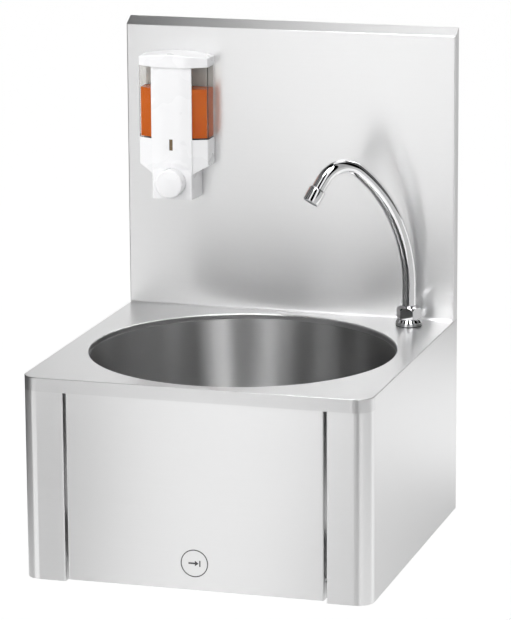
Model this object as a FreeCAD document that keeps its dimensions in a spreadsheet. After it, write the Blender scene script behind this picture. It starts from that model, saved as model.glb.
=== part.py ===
import FreeCAD, Part
import math
import os

import Sketcher

# Wall-hung stainless steel hand wash sink with a knee-operated front panel, a swivel spout and a
# soap dispenser. Millimetres, +Z up, +X right, the wall is the plane Y = 0 and the front is -Y.
# The origin is on the wall, at the centre of the four fixing holes. Heights in this file count
# from the underside of the casing, and place() turns them into that frame.

doc = FreeCAD.newDocument("hand_wash_sink")
sheet = doc.addObject("Spreadsheet::Sheet", "Sizes")
pieces = []


# ---------------------------------------------------------------- sizes and their formulas
class Size:
    """A length or angle: its number, and the formula that binds a feature to the sheet."""

    def __init__(self, value, formula):
        self.value = value
        self.formula = formula

    def __add__(self, other):
        other = as_size(other)
        return Size(self.value + other.value, f"({self.formula} + {other.formula})")

    def __sub__(self, other):
        other = as_size(other)
        return Size(self.value - other.value, f"({self.formula} - {other.formula})")

    def __mul__(self, other):
        other = as_size(other)
        return Size(self.value * other.value, f"({self.formula} * {other.formula})")

    def __truediv__(self, other):
        other = as_size(other)
        return Size(self.value / other.value, f"({self.formula} / {other.formula})")

    def __radd__(self, other):
        return as_size(other) + self

    def __rsub__(self, other):
        return as_size(other) - self

    def __rmul__(self, other):
        return as_size(other) * self

    def __neg__(self):
        return Size(-self.value, f"(0 - {self.formula})")


def as_size(amount):
    if isinstance(amount, Size):
        return amount
    return Size(float(amount), f"({float(amount):.8f})")


def sine(angle):
    return Size(math.sin(math.radians(angle.value)), f"sin({angle.formula} * 1deg)")


def cosine(angle):
    return Size(math.cos(math.radians(angle.value)), f"cos({angle.formula} * 1deg)")


def smaller(one, other):
    return Size(min(one.value, other.value), f"min({one.formula}; {other.formula})")


row_count = 0


def size(alias, value, note):
    """One row of the sheet: the note, the value under its alias."""
    global row_count
    row_count += 1
    sheet.set(f"A{row_count}", note)
    sheet.set(f"B{row_count}", str(value))
    sheet.setAlias(f"B{row_count}", alias)
    return Size(float(value), f"Sizes.{alias}")


# Casing
casing_width = size("casing_width", 400, "width of the casing")
casing_depth = size("casing_depth", 400, "depth of the casing from the wall")
deck_height = size("deck_height", 232, "top of the deck above the underside")
sheet_gauge = size("sheet_gauge", 1.0, "thickness of the stainless sheet")
corner_radius = size("corner_radius", 20, "outer radius of the front corners in plan")
lip_height = size("lip_height", 15.4, "height of the lip folded down round the front")
lip_overhang = size("lip_overhang", 1.4, "how far the lip stands in front of the strips")
lip_tail = size("lip_tail", 2, "how far the lip runs along each side past the corner")
edge_rounding = size("edge_rounding", 0.8, "rounding of the folded edges")
fixing_height = size("fixing_height", 120, "centre of the fixing holes above the underside")
fixing_margin = size("fixing_margin", 25, "fixing holes from the side of the casing")
fixing_spacing_upright = size("fixing_spacing_upright", 140, "fixing holes, centre to centre upright")
fixing_hole_radius = size("fixing_hole_radius", 4.25, "radius of a fixing hole")
wall_flange = size("wall_flange", 45, "width of the flange that lies on the wall")
base_flange = size("base_flange", 12, "width of the stiffening flange at the underside")
strip_return = size("strip_return", 26, "depth of the return behind a front strip")
slot_width = size("slot_width", 3, "gap between the panel and a front strip")
strip_width = size("strip_width", 49.5, "width of a front strip with its corner")

# Backsplash
splash_height = size("splash_height", 569.1, "front top edge of the backsplash above the underside")
splash_depth = size("splash_depth", 16.1, "front of the backsplash from the wall")
splash_rise = size("splash_rise", 8.3, "rise of the sloping top towards the wall")
splash_hem = size("splash_hem", 12, "hem of the backsplash on the wall")
splash_rounding = size("splash_rounding", 1.5, "rounding of the backsplash's front edges")
weld_leg = size("weld_leg", 2.4, "leg of the dressed weld between backsplash and deck")
weld_start = size("weld_start", 3, "start of that weld from the side of the casing")
weld_edge = size("weld_edge", 0.15, "height of that weld's front edge on the deck")

# Bowl
bowl_front_margin = size("bowl_front_margin", 12.9, "deck in front of the bowl's bend")
bowl_rear_margin = size("bowl_rear_margin", 33.9, "deck between the wall and the bowl's bend")
bowl_side_margin = size("bowl_side_margin", 23.4, "least deck beside the bowl's bend")
rim_bend = size("rim_bend", 1.6, "radius of that bend")
collar_depth = size("collar_depth", 5, "straight collar of the deck inside the bend")
bowl_step = size("bowl_step", 0.5, "step between the collar and the drawn bowl")
bowl_depth = size("bowl_depth", 135, "depth of the bowl below the deck")
bowl_corner = size("bowl_corner", 45, "radius between the wall and the floor of the bowl")
bowl_fall = size("bowl_fall", 4, "fall of the floor towards the waste")

# Waste
recess_radius = size("recess_radius", 42, "radius of the pressed recess for the waste")
recess_depth = size("recess_depth", 4.5, "depth of that recess")
waste_hole_radius = size("waste_hole_radius", 29.5, "hole in the bowl for the waste")
gasket_height = size("gasket_height", 1.2, "thickness of a waste gasket")
waste_flange_radius = size("waste_flange_radius", 38, "radius of the waste flanges")
waste_tail_radius = size("waste_tail_radius", 23.9, "outside of the waste tail thread")
waste_tail_end = size("waste_tail_end", 30, "end of the waste tail above the underside")
waste_tail_length = size("waste_tail_length", 24, "length of the waste tail thread")

# Push panel and its pivot
panel_clearance = size("panel_clearance", 2.5, "bottom of the panel above the underside")
panel_drop = size("panel_drop", 10, "top of the panel's front below the deck")
pivot_drop = size("pivot_drop", 12, "pivot axis below the deck")
pivot_inset = size("pivot_inset", 14, "pivot axis behind the front of the casing")
pivot_radius = size("pivot_radius", 3, "radius of a pivot pin")
pivot_play = size("pivot_play", 0.05, "radial running clearance on a pivot pin")
stop_height = size("stop_height", 24, "stop pins above the underside")
stop_inset = size("stop_inset", 22, "stop pins behind the front of the casing")
stop_radius = size("stop_radius", 2.5, "radius of a stop pin")
stop_play = size("stop_play", 0.3, "clearance between a stop pin and its slot")
panel_travel = size("panel_travel", 11, "travel of the panel at the stop pins")
pad_radius = size("pad_radius", 14, "radius of the striker pad")
pad_height = size("pad_height", 5, "thickness of the striker pad")

# Valve, measured along its axis as the distance from the wall
valve_height = size("valve_height", 36, "valve axis above the underside")
rail_inset = size("rail_inset", 57.5, "rear face of the valve rail behind the front")
rail_gauge = size("rail_gauge", 1.5, "thickness of the rails")
rail_height = size("rail_height", 60, "height of the valve rail")
rail_base = size("rail_base", 4, "bottom of the rails above the underside")
rail_flange = size("rail_flange", 14, "flange of the rails")
barrel_radius = size("barrel_radius", 17, "radius of the valve barrel")
barrel_length = size("barrel_length", 64.5, "length of the valve barrel")
neck_radius = size("neck_radius", 11, "radius of the threaded valve neck")
neck_length = size("neck_length", 23.5, "length of the threaded valve neck")
rod_radius = size("rod_radius", 6, "radius of the plunger rod")
sliding_play = size("sliding_play", 0.04, "radial clearance of a sliding rod")
chamber_radius = size("chamber_radius", 10, "radius of the valve chamber")
chamber_length = size("chamber_length", 35, "length of the valve chamber")
seat_depth = size("seat_depth", 9.5, "valve seat behind the front of the barrel")
button_radius = size("button_radius", 12, "radius of the plunger head")
button_height = size("button_height", 6.3, "height of the plunger head")
button_crown = size("button_crown", 1.2, "fall of the plunger head's crown at its rim")
button_crown_radius = size("button_crown_radius", 55, "radius of that crown")
contact_gap = size("contact_gap", 0.3, "gap between two pieces that meet when pushed")
inlet_radius = size("inlet_radius", 10.48, "outside of an inlet thread")
inlet_thread = size("inlet_thread", 16, "length of an inlet thread")
inlet_end = size("inlet_end", 7.5, "end of an inlet thread above the underside")
inlet_across = size("inlet_across", 40, "axis of an inlet from the valve axis")
inlet_bore = size("inlet_bore", 7, "bore of an inlet")
inlet_inset = size("inlet_inset", 75, "inlets behind the front of the casing")
leg_radius = size("leg_radius", 12.5, "radius of an inlet leg")
leg_top = size("leg_top", 50, "top of an inlet leg above the underside")
arm_radius = size("arm_radius", 10, "radius of the arms that carry the inlet legs")
arm_bore = size("arm_bore", 6, "bore of those arms")
check_length = size("check_length", 19, "length of a check valve in an inlet")
outlet_inset = size("outlet_inset", 111, "outlet of the valve behind the front of the casing")
outlet_reach = size("outlet_reach", 38, "end of the outlet from the valve axis")
outlet_radius = size("outlet_radius", 6.5, "outside of the outlet thread")
spindle_radius = size("spindle_radius", 5, "radius of the mixing spindle")
knob_radius = size("knob_radius", 12, "radius of the mixing knob")
knob_height = size("knob_height", 11, "height of the mixing knob")
knob_base = size("knob_base", 2, "bottom of the mixing knob above the underside")

# Hose
hose_radius = size("hose_radius", 5.5, "outside of the hose")
hose_bore = size("hose_bore", 3.5, "bore of the hose")

# Spout, heights measured from the deck
spout_inset = size("spout_inset", 46, "spout axis from the side of the casing")
spout_distance = size("spout_distance", 48, "spout axis from the wall")
spout_turn = size("spout_turn", 45, "turn of the spout from the wall at rest, in degrees")
tube_radius = size("tube_radius", 8, "outside of the spout tube")
tube_gauge = size("tube_gauge", 1.2, "wall of the spout tube")
tube_seat = size("tube_seat", 8.2, "bottom of the spout tube")
tube_play = size("tube_play", 0.05, "radial running clearance of the tube in its socket")
riser_height = size("riser_height", 47, "top of the straight part of the spout")
sweep_radius = size("sweep_radius", 184, "radius of the long bend of the spout")
sweep_angle = size("sweep_angle", 50.8, "angle of the long bend, in degrees")
crook_radius = size("crook_radius", 32.5, "radius of the short bend of the spout")
outlet_angle = size("outlet_angle", 55, "tilt of the outlet below level, in degrees")
outlet_straight = size("outlet_straight", 29.3, "straight end of the spout with its aerator")
aerator_length = size("aerator_length", 17.8, "length of the aerator housing")
aerator_radius = size("aerator_radius", 10.1, "radius of the aerator housing")
tube_in_aerator = size("tube_in_aerator", 7.8, "length of tube inside the aerator housing")
shank_radius = size("shank_radius", 10.4, "radius of the spout's threaded shank")
shank_length = size("shank_length", 45, "length of the shank below the deck")
shank_play = size("shank_play", 0.6, "clearance of the shank in the deck")
thread_play = size("thread_play", 0.1, "clearance of a nut on its thread")
base_radius = size("base_radius", 16, "radius of the spout's flange")
base_gasket = size("base_gasket", 1, "thickness of the gasket under the flange")
base_rise = size("base_rise", 7.5, "height of the spout's flange")
socket_height = size("socket_height", 17, "top of the spout's socket")
union_top = size("union_top", 24, "top of the union nut")
union_flats = size("union_flats", 26, "width across the flats of the union nut")
backnut_flats = size("backnut_flats", 27, "width across the flats of the backnut")
backnut_height = size("backnut_height", 6, "height of the backnut")

# Soap dispenser, depths measured from the backsplash
soap_inset = size("soap_inset", 66, "middle of the dispenser from the side of the casing")
soap_half = size("soap_half", 42.6, "half the width of the dispenser")
soap_side = size("soap_side", 27, "depth of the dispenser's sides")
soap_front = size("soap_front", 34, "depth of the dispenser's tank")
band_half = size("band_half", 25, "half the width of the front band")
band_bulge = size("band_bulge", 4, "thickness of the front band")
plate_gauge = size("plate_gauge", 2.5, "thickness of the dispenser's wall plate")
wall_gap = size("wall_gap", 0.1, "gap between moulded pieces")
moulding = size("moulding", 1.6, "wall of the moulded pieces")
soap_drop = size("soap_drop", 43.8, "top of the tank below the front top edge of the backsplash")
tank_height = size("tank_height", 85.8, "height of the tank")
fill_depth = size("fill_depth", 59.5, "level of the soap above the bottom of the tank")
cover_skirt = size("cover_skirt", 31.5, "height of the cover's sides below the tank")
stem_slope = size("stem_slope", 10, "height of the slope between the cover's sides and the stem")
stem_height = size("stem_height", 30, "height of the pump stem")
stem_half = size("stem_half", 24.4, "half the width of the pump stem at its front")
stem_flare = size("stem_flare", 2.6, "flare of the pump stem towards the wall")
stem_front = size("stem_front", 36, "depth of the pump stem")
lid_side = size("lid_side", 10.2, "height of the lid at its sides")
lid_crown = size("lid_crown", 7.9, "rise of the lid's crown")
lid_front = size("lid_front", 39.8, "depth of the lid")
screw_drop_low = size("screw_drop_low", 9.5, "lower dispenser screw below the bottom of the tank")
screw_drop_high = size("screw_drop_high", 25.3, "upper dispenser screw below the top of the tank")
plate_screw_radius = size("plate_screw_radius", 2, "radius of a dispenser screw")
plate_head_radius = size("plate_head_radius", 3.8, "radius of a dispenser screw's head")
push_drop = size("push_drop", 10, "axis of the dispenser's button below the top of the stem")
push_radius = size("push_radius", 16.9, "radius of the dispenser's button")
push_front = size("push_front", 50.4, "front of the dispenser's button")
push_play = size("push_play", 0.3, "clearance round the dispenser's button")
push_travel = size("push_travel", 6, "travel of the dispenser's button")
pump_radius = size("pump_radius", 10, "radius of the pump body")
pump_front = size("pump_front", 22, "front of the pump body")
pump_rear = size("pump_rear", 3, "rear of the pump body")
piston_radius = size("piston_radius", 4.5, "radius of the pump piston")
nozzle_distance = size("nozzle_distance", 13, "soap nozzle from the backsplash")
nozzle_radius = size("nozzle_radius", 4, "radius of the soap nozzle")
nozzle_reach = size("nozzle_reach", 4, "bottom of the soap nozzle below the stem")

doc.recompute()

# Places that several pieces share
fixing_spacing_across = casing_width - 2 * fixing_margin
panel_width = casing_width - 2 * (strip_width + slot_width)
panel_top = deck_height - panel_drop
pivot_height = deck_height - pivot_drop
rim_radius = smaller((casing_depth - bowl_front_margin - bowl_rear_margin) / 2,
                     casing_width / 2 - bowl_side_margin)
bowl_centre = bowl_rear_margin + rim_radius
rail_distance = casing_depth - rail_inset
inlet_distance = casing_depth - inlet_inset
outlet_distance = casing_depth - outlet_inset
spout_across = casing_width / 2 - spout_inset
soap_across = soap_inset - casing_width / 2
front_plane = casing_depth - lip_overhang
slot_outer = panel_width / 2 + slot_width
deck_under = deck_height - sheet_gauge
collar_radius = rim_radius - rim_bend
collar_end = deck_height - rim_bend - collar_depth
bowl_radius = collar_radius - bowl_step
bowl_floor = deck_height - bowl_depth
recess_floor = bowl_floor - recess_depth
pad_face = front_plane - sheet_gauge - pad_height
head_front = pad_face - contact_gap
neck_front = rail_distance + neck_length
tube_end_x = (sweep_radius * (1 - cosine(sweep_angle))) + crook_radius * cosine(sweep_angle)
soap_wall = splash_depth
tank_top = splash_height - soap_drop
tank_base = tank_top - tank_height
fill_level = tank_base + fill_depth
cover_base = tank_base - cover_skirt
stem_top = cover_base - stem_slope
stem_base = stem_top - stem_height
push_height = stem_top - push_drop
nozzle_base = stem_base - nozzle_reach
plate_screw_heights = (tank_base - screw_drop_low, tank_top - screw_drop_high)

FRONTWARD = FreeCAD.Rotation(FreeCAD.Vector(1, 0, 0), 90)
RIGHTWARD = FreeCAD.Rotation(FreeCAD.Vector(0, 1, 0), 90)
UPRIGHT = FreeCAD.Rotation()


# ---------------------------------------------------------------- helpers
def bind(feature, path, amount):
    feature.setExpression(path, as_size(amount).formula)


def place(piece, at, rotation):
    """Puts a piece's origin at x, y and a height above the underside."""
    piece.Placement = FreeCAD.Placement(FreeCAD.Vector(), rotation)
    bind(piece, "Placement.Base.x", at[0])
    bind(piece, "Placement.Base.y", at[1])
    bind(piece, "Placement.Base.z", at[2] - fixing_height)


def new_body(label, at=(0, 0, 0), rotation=UPRIGHT):
    body = doc.addObject("PartDesign::Body", label)
    body.Label = label
    place(body, at, rotation)
    pieces.append(body)
    return body


def origin_plane(body, role):
    return [item for item in body.Origin.OriginFeatures if item.Role == role][0]


def new_sketch(body, plane, offset=0):
    """A sketch on XY (normal +Z), XZ (normal -Y) or YZ (normal +X), moved along its normal."""
    sketch = body.newObject("Sketcher::SketchObject", body.Name + "_sketch")
    sketch.AttachmentSupport = [(origin_plane(body, plane + "_Plane"), "")]
    sketch.MapMode = "FlatFace"
    bind(sketch, "AttachmentOffset.Base.z", offset)
    return sketch


def pin_point(constraints, formulas, geometry, position, x, y):
    """Holds a point at x, y from the sketch's origin."""
    for kind, amount in (("DistanceX", x), ("DistanceY", y)):
        formulas[len(constraints)] = amount
        constraints.append(Sketcher.Constraint(kind, -1, 1, geometry, position, amount.value))


def close_sketch(sketch, shapes, constraints, formulas):
    first = len(sketch.Constraints)
    sketch.addGeometry(shapes, False)
    sketch.addConstraint(constraints)
    for index, amount in formulas.items():
        if "Sizes." in amount.formula:
            sketch.setExpression(f"Constraints[{first + index}]", amount.formula)


def unit(vector):
    return vector / vector.Length


def outline(sketch, corners):
    """A closed outline. Each corner is (x, y) or (x, y, radius of its rounding)."""
    base = sketch.GeometryCount
    points = [(as_size(c[0]), as_size(c[1])) for c in corners]
    radii = [as_size(c[2]) if len(c) > 2 else None for c in corners]
    spots = [FreeCAD.Vector(x.value, y.value, 0) for x, y in points]
    count = len(spots)
    starts, ends, arcs = [], [], {}
    for i in range(count):
        into = unit(spots[i] - spots[i - 1])
        away = unit(spots[(i + 1) % count] - spots[i])
        ends.append(spots[i])
        starts.append(spots[i])
        if radii[i]:
            turn = math.atan2(into.cross(away).z, into.dot(away))
            reach = radii[i].value * math.tan(abs(turn) / 2)
            ends[i] = spots[i] - into * reach
            starts[i] = spots[i] + away * reach
            side = math.copysign(1, turn)
            centre = ends[i] + FreeCAD.Vector(-into.y, into.x, 0) * (side * radii[i].value)
            arcs[i] = (centre, turn)
    shapes = [Part.LineSegment(starts[i], ends[(i + 1) % count]) for i in range(count)]
    constraints, formulas = [], {}
    for i in range(count):
        incoming, outgoing = base + (i - 1) % count, base + i
        x, y = points[i]
        if i not in arcs:
            constraints.append(Sketcher.Constraint("Coincident", incoming, 2, outgoing, 1))
            pin_point(constraints, formulas, outgoing, 1, x, y)
            continue
        centre, turn = arcs[i]
        first, last = (ends[i], starts[i]) if turn > 0 else (starts[i], ends[i])
        circle = Part.Circle(centre, FreeCAD.Vector(0, 0, 1), radii[i].value)
        angles = [math.atan2(p.y - centre.y, p.x - centre.x) for p in (first, last)]
        arc = base + len(shapes)
        shapes.append(Part.ArcOfCircle(circle, angles[0], angles[1]))
        corner = base + len(shapes)
        shapes.append(Part.Point(spots[i]))
        arc_in, arc_out = (1, 2) if turn > 0 else (2, 1)
        constraints.append(Sketcher.Constraint("Tangent", incoming, 2, arc, arc_in))
        constraints.append(Sketcher.Constraint("Tangent", arc, arc_out, outgoing, 1))
        constraints.append(Sketcher.Constraint("PointOnObject", corner, 1, incoming))
        constraints.append(Sketcher.Constraint("PointOnObject", corner, 1, outgoing))
        pin_point(constraints, formulas, corner, 1, x, y)
        formulas[len(constraints)] = radii[i]
        constraints.append(Sketcher.Constraint("Radius", arc, radii[i].value))
    close_sketch(sketch, shapes, constraints, formulas)
    for index in range(base, base + len(shapes)):
        if isinstance(sketch.Geometry[index], Part.Point):
            sketch.setConstruction(index, True)


def circle(sketch, x, y, radius):
    x, y, radius = as_size(x), as_size(y), as_size(radius)
    index = sketch.GeometryCount
    shape = Part.Circle(FreeCAD.Vector(x.value, y.value, 0), FreeCAD.Vector(0, 0, 1), radius.value)
    constraints, formulas = [], {}
    pin_point(constraints, formulas, index, 3, x, y)
    formulas[len(constraints)] = radius
    constraints.append(Sketcher.Constraint("Radius", index, radius.value))
    close_sketch(sketch, [shape], constraints, formulas)


def rectangle(sketch, left, bottom, right, top):
    outline(sketch, [(left, bottom), (right, bottom), (right, top), (left, top)])


def hexagon(sketch, flats):
    """A hexagon about the origin with two flats square to Y."""
    corner = flats / math.sqrt(3)
    angles = [math.radians(60 * step) for step in range(6)]
    outline(sketch, [(corner * math.cos(a), corner * math.sin(a)) for a in angles])


def extrude(body, kind, sketch, length, forward):
    """Pads along the sketch's normal if forward, and cuts the same way."""
    feature = body.newObject("PartDesign::" + kind, f"{body.Name}_{kind}")
    feature.Profile = sketch
    feature.Reversed = (kind == "Pad") != forward
    bind(feature, "Length", length)
    sketch.Visibility = False
    return feature


def pad(body, sketch, length, forward=True):
    return extrude(body, "Pad", sketch, length, forward)


def cut(body, sketch, length, forward=True):
    return extrude(body, "Pocket", sketch, length, forward)


def turn(body, kind, sketch):
    """Revolves a profile round the sketch's upright axis, as a Revolution or a Groove."""
    feature = body.newObject("PartDesign::" + kind, f"{body.Name}_{kind}")
    feature.Profile = sketch
    feature.ReferenceAxis = (sketch, ["V_Axis"])
    feature.Angle = 360
    return feature


def mirror(body, features, role):
    feature = body.newObject("PartDesign::Mirrored", body.Name + "_mirrored")
    feature.Originals = features
    feature.MirrorPlane = (origin_plane(body, role), [""])
    body.Tip = feature
    return feature


def ring_pattern(body, features, count):
    feature = body.newObject("PartDesign::PolarPattern", body.Name + "_pattern")
    feature.Originals = features
    axis = [item for item in body.Origin.OriginFeatures if item.Role == "Z_Axis"][0]
    feature.Axis = (axis, [""])
    feature.Angle = 360
    feature.Occurrences = count
    body.Tip = feature
    return feature


def round_edges(body, radius, chosen):
    """Fillets the edges of the last feature for which chosen(edge) holds."""
    doc.recompute()
    tip = body.Tip
    names = [f"Edge{n}" for n, edge in enumerate(tip.Shape.Edges, 1) if chosen(edge)]
    feature = body.newObject("PartDesign::Fillet", body.Name + "_fillet")
    feature.Base = (tip, names)
    bind(feature, "Radius", radius)
    return feature


def turned(label, at, profile, rotation=UPRIGHT):
    """A piece revolved about its own axis, from corners (radius, distance along the axis)."""
    body = new_body(label, at, rotation)
    sketch = new_sketch(body, "XZ")
    outline(sketch, profile)
    turn(body, "Revolution", sketch)
    return body


def ring(label, at, inner, outer, low, high, rotation=UPRIGHT):
    return turned(label, at, [(inner, low), (outer, low), (outer, high), (inner, high)], rotation)


def hex_nut(label, at, flats, bore, low, high, rotation=UPRIGHT):
    body = new_body(label, at, rotation)
    sketch = new_sketch(body, "XY", low)
    hexagon(sketch, flats)
    circle(sketch, 0, 0, bore)
    pad(body, sketch, high - low)
    return body


def bend(first, corner, last):
    """The arc that leaves one run and joins the next, equally far from their corner."""
    half_turn = (corner - first).getAngle(last - corner) / 2
    radius = (corner - first).Length / math.tan(half_turn)
    bisector = unit(unit(last - corner) - unit(corner - first))
    middle = corner + bisector * (radius / math.cos(half_turn) - radius)
    return Part.Arc(first, middle, last).toShape(), radius


def coil_spring(label, at, coil_radius, wire_radius, low, high, turns, rotation):
    """One unbroken wire on a helix, each quarter turn of it a pair of tangent arcs."""
    across, wire = as_size(coil_radius).value, as_size(wire_radius).value
    base, rise = low.value + wire, (high - low).value - 2 * wire
    climb = rise / turns / (2 * math.pi)

    def spot(angle):
        return FreeCAD.Vector(across * math.cos(angle), across * math.sin(angle),
                              base + climb * angle)

    def heading(angle):
        return unit(FreeCAD.Vector(-across * math.sin(angle), across * math.cos(angle), climb))

    edges, angles = [], [quarter * math.pi / 2 for quarter in range(4 * turns + 1)]
    for start, end in zip(angles, angles[1:]):
        chord, both = spot(end) - spot(start), heading(start) + heading(end)
        square, slope = 4 - both.dot(both), chord.dot(both)
        reach = (math.sqrt(slope ** 2 + square * chord.dot(chord)) - slope) / square
        corners = (spot(start) + heading(start) * reach, spot(end) - heading(end) * reach)
        middle = (corners[0] + corners[1]) / 2
        edges += [bend(spot(start), corners[0], middle)[0], bend(middle, corners[1], spot(end))[0]]
    path = Part.Wire(edges)
    section = Part.Wire(Part.makeCircle(wire, spot(0), heading(0)))
    spring = doc.addObject("Part::Feature", label)
    spring.Label = label
    spring.Shape = path.makePipeShell([section], True, False)
    place(spring, at, rotation)
    pieces.append(spring)
    points = [spot(step * math.pi / 18) for step in range(36 * turns + 1)]
    gap = min((near - far).Length for i, near in enumerate(points) for far in points[i + 18:])
    print(f"{label}: least gap between turns {gap - 2 * wire:.2f} mm")


# ---------------------------------------------------------------- casing
def make_deck():
    body = new_body("deck", (0, -bowl_centre, 0))
    half, front, rear = casing_width / 2, -(casing_depth - bowl_centre), bowl_centre
    plan = new_sketch(body, "XY", deck_under)
    outline(plan, [(-half, rear), (-half, front, corner_radius),
                   (half, front, corner_radius), (half, rear)])
    circle(plan, 0, 0, rim_radius + sheet_gauge)
    circle(plan, spout_across, bowl_centre - spout_distance, shank_radius + shank_play)
    pad(body, plan, sheet_gauge)
    lip = new_sketch(body, "XY", deck_under)
    inner, inner_radius = half - sheet_gauge, corner_radius - sheet_gauge
    tangent = front + corner_radius + lip_tail
    outline(lip, [(-half, tangent), (-half, front, corner_radius), (half, front, corner_radius),
                  (half, tangent), (inner, tangent),
                  (inner, front + sheet_gauge, inner_radius),
                  (-inner, front + sheet_gauge, inner_radius), (-inner, tangent)])
    pad(body, lip, lip_height - sheet_gauge, forward=False)
    collar = new_sketch(body, "XZ")
    outer = collar_radius + sheet_gauge
    plate_edge = rim_radius + sheet_gauge
    outline(collar, [(plate_edge, deck_height), (collar_radius, deck_height, rim_bend),
                     (collar_radius, collar_end), (outer, collar_end),
                     (outer, deck_under, rim_bend - sheet_gauge), (plate_edge, deck_under)])
    turn(body, "Revolution", collar)
    top, reach = deck_height.value, half.value

    def outer_top(edge):
        low, high = edge.BoundBox.ZMin, edge.BoundBox.ZMax
        spot = edge.valueAt((edge.FirstParameter + edge.LastParameter) / 2)
        outside = abs(spot.x) > reach - corner_radius.value / 2 or spot.y < front.value + 1
        return low > top - 0.01 and high < top + 0.01 and outside and spot.y < rear.value - 1

    round_edges(body, edge_rounding, outer_top)


def make_bowl():
    floor_edge = bowl_floor + bowl_fall
    recess_edge = recess_radius + 3
    turned("bowl", (0, -bowl_centre, 0), [
        (bowl_radius, collar_end), (bowl_radius, floor_edge, bowl_corner),
        (recess_edge, bowl_floor, 4), (recess_radius, recess_floor, 2.5),
        (waste_hole_radius, recess_floor), (waste_hole_radius, recess_floor - sheet_gauge),
        (recess_radius + 0.3, recess_floor - sheet_gauge, 3.5),
        (recess_edge + 0.2, bowl_floor - sheet_gauge, 3),
        (bowl_radius + sheet_gauge, floor_edge - sheet_gauge, bowl_corner + sheet_gauge),
        (bowl_radius + sheet_gauge, collar_end)])


def make_side_panel(label, side):
    """Side, rear flange, front corner, front strip and its return, folded from one sheet."""
    body = new_body(label)
    half = side * casing_width / 2
    inner = half - side * sheet_gauge
    strip_back = -(front_plane - sheet_gauge)
    slot_edge = side * slot_outer
    slot_back = slot_edge + side * sheet_gauge
    return_end = -(front_plane - strip_return)
    bend = corner_radius - lip_overhang
    plan = new_sketch(body, "XY")
    outline(plan, [(half - side * wall_flange, 0), (half, 0), (half, -front_plane, bend),
                   (slot_edge, -front_plane, edge_rounding + sheet_gauge), (slot_edge, return_end),
                   (slot_back, return_end), (slot_back, strip_back, edge_rounding),
                   (inner, strip_back, bend - sheet_gauge), (inner, -sheet_gauge),
                   (half - side * wall_flange, -sheet_gauge)])
    pad(body, plan, deck_under)
    notch = new_sketch(body, "XY", deck_height - lip_height)
    corner_start = -(casing_depth - corner_radius - lip_tail)
    rectangle(notch, side * (casing_width / 2 - corner_radius - 1), -casing_depth,
              half + side, corner_start)
    cut(body, notch, lip_height)
    flange = new_sketch(body, "XY")
    rectangle(flange, inner - side * base_flange, -(casing_depth - corner_radius - 6), inner,
              -wall_flange)
    pad(body, flange, sheet_gauge)
    holes = new_sketch(body, "XZ", -1)
    for step in (-1, 1):
        circle(holes, side * fixing_spacing_across / 2,
               fixing_height + step * fixing_spacing_upright / 2, fixing_hole_radius)
    cut(body, holes, sheet_gauge + 2)
    pins = new_sketch(body, "YZ", side * (slot_outer - 1) if side > 0 else -(slot_outer + 3))
    circle(pins, -(casing_depth - pivot_inset), pivot_height, pivot_radius)
    circle(pins, -(casing_depth - stop_inset), stop_height, stop_radius)
    cut(body, pins, sheet_gauge + 3)


def make_backsplash():
    body = new_body("backsplash")
    section = new_sketch(body, "YZ", -casing_width / 2)
    outline(section, [(0, deck_height), (-splash_depth, deck_height),
                      (-splash_depth, splash_height), (0, splash_height + splash_rise)])
    pad(body, section, casing_width)
    hollow = new_sketch(body, "YZ", -casing_width / 2 + sheet_gauge)
    outline(hollow, [(1, deck_height - 1), (-splash_depth + sheet_gauge, deck_height - 1),
                     (-splash_depth + sheet_gauge, splash_height - sheet_gauge),
                     (-sheet_gauge, splash_height + splash_rise - 1.5 * sheet_gauge),
                     (-sheet_gauge, splash_height + splash_rise - splash_hem),
                     (1, splash_height + splash_rise - splash_hem)])
    cut(body, hollow, casing_width - 2 * sheet_gauge)
    holes = new_sketch(body, "XZ", splash_depth - sheet_gauge - 1)
    for height in plate_screw_heights:
        circle(holes, soap_across, height, plate_screw_radius + 0.1)
    cut(body, holes, sheet_gauge + 2)
    front, top, end = -splash_depth.value, splash_height.value, casing_width.value / 2

    def front_edge(edge):
        box = edge.BoundBox
        on_front = box.YMin > front - 0.01 and box.YMax < front + 0.01
        return on_front and (box.ZMin > top - 0.01 or abs(box.XMin + box.XMax) > 2 * end - 0.01)

    round_edges(body, splash_rounding, front_edge)
    reach = casing_width / 2 - weld_start
    weld = new_sketch(body, "YZ", -reach)
    toe = weld_edge + deck_height
    outline(weld, [(-splash_depth + sheet_gauge / 2, deck_height),
                   (-splash_depth - weld_leg, deck_height), (-splash_depth - weld_leg, toe),
                   (-splash_depth, toe, weld_leg - 0.01), (-splash_depth, toe + weld_leg),
                   (-splash_depth + sheet_gauge / 2, toe + weld_leg)])
    pad(body, weld, 2 * reach)


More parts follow.
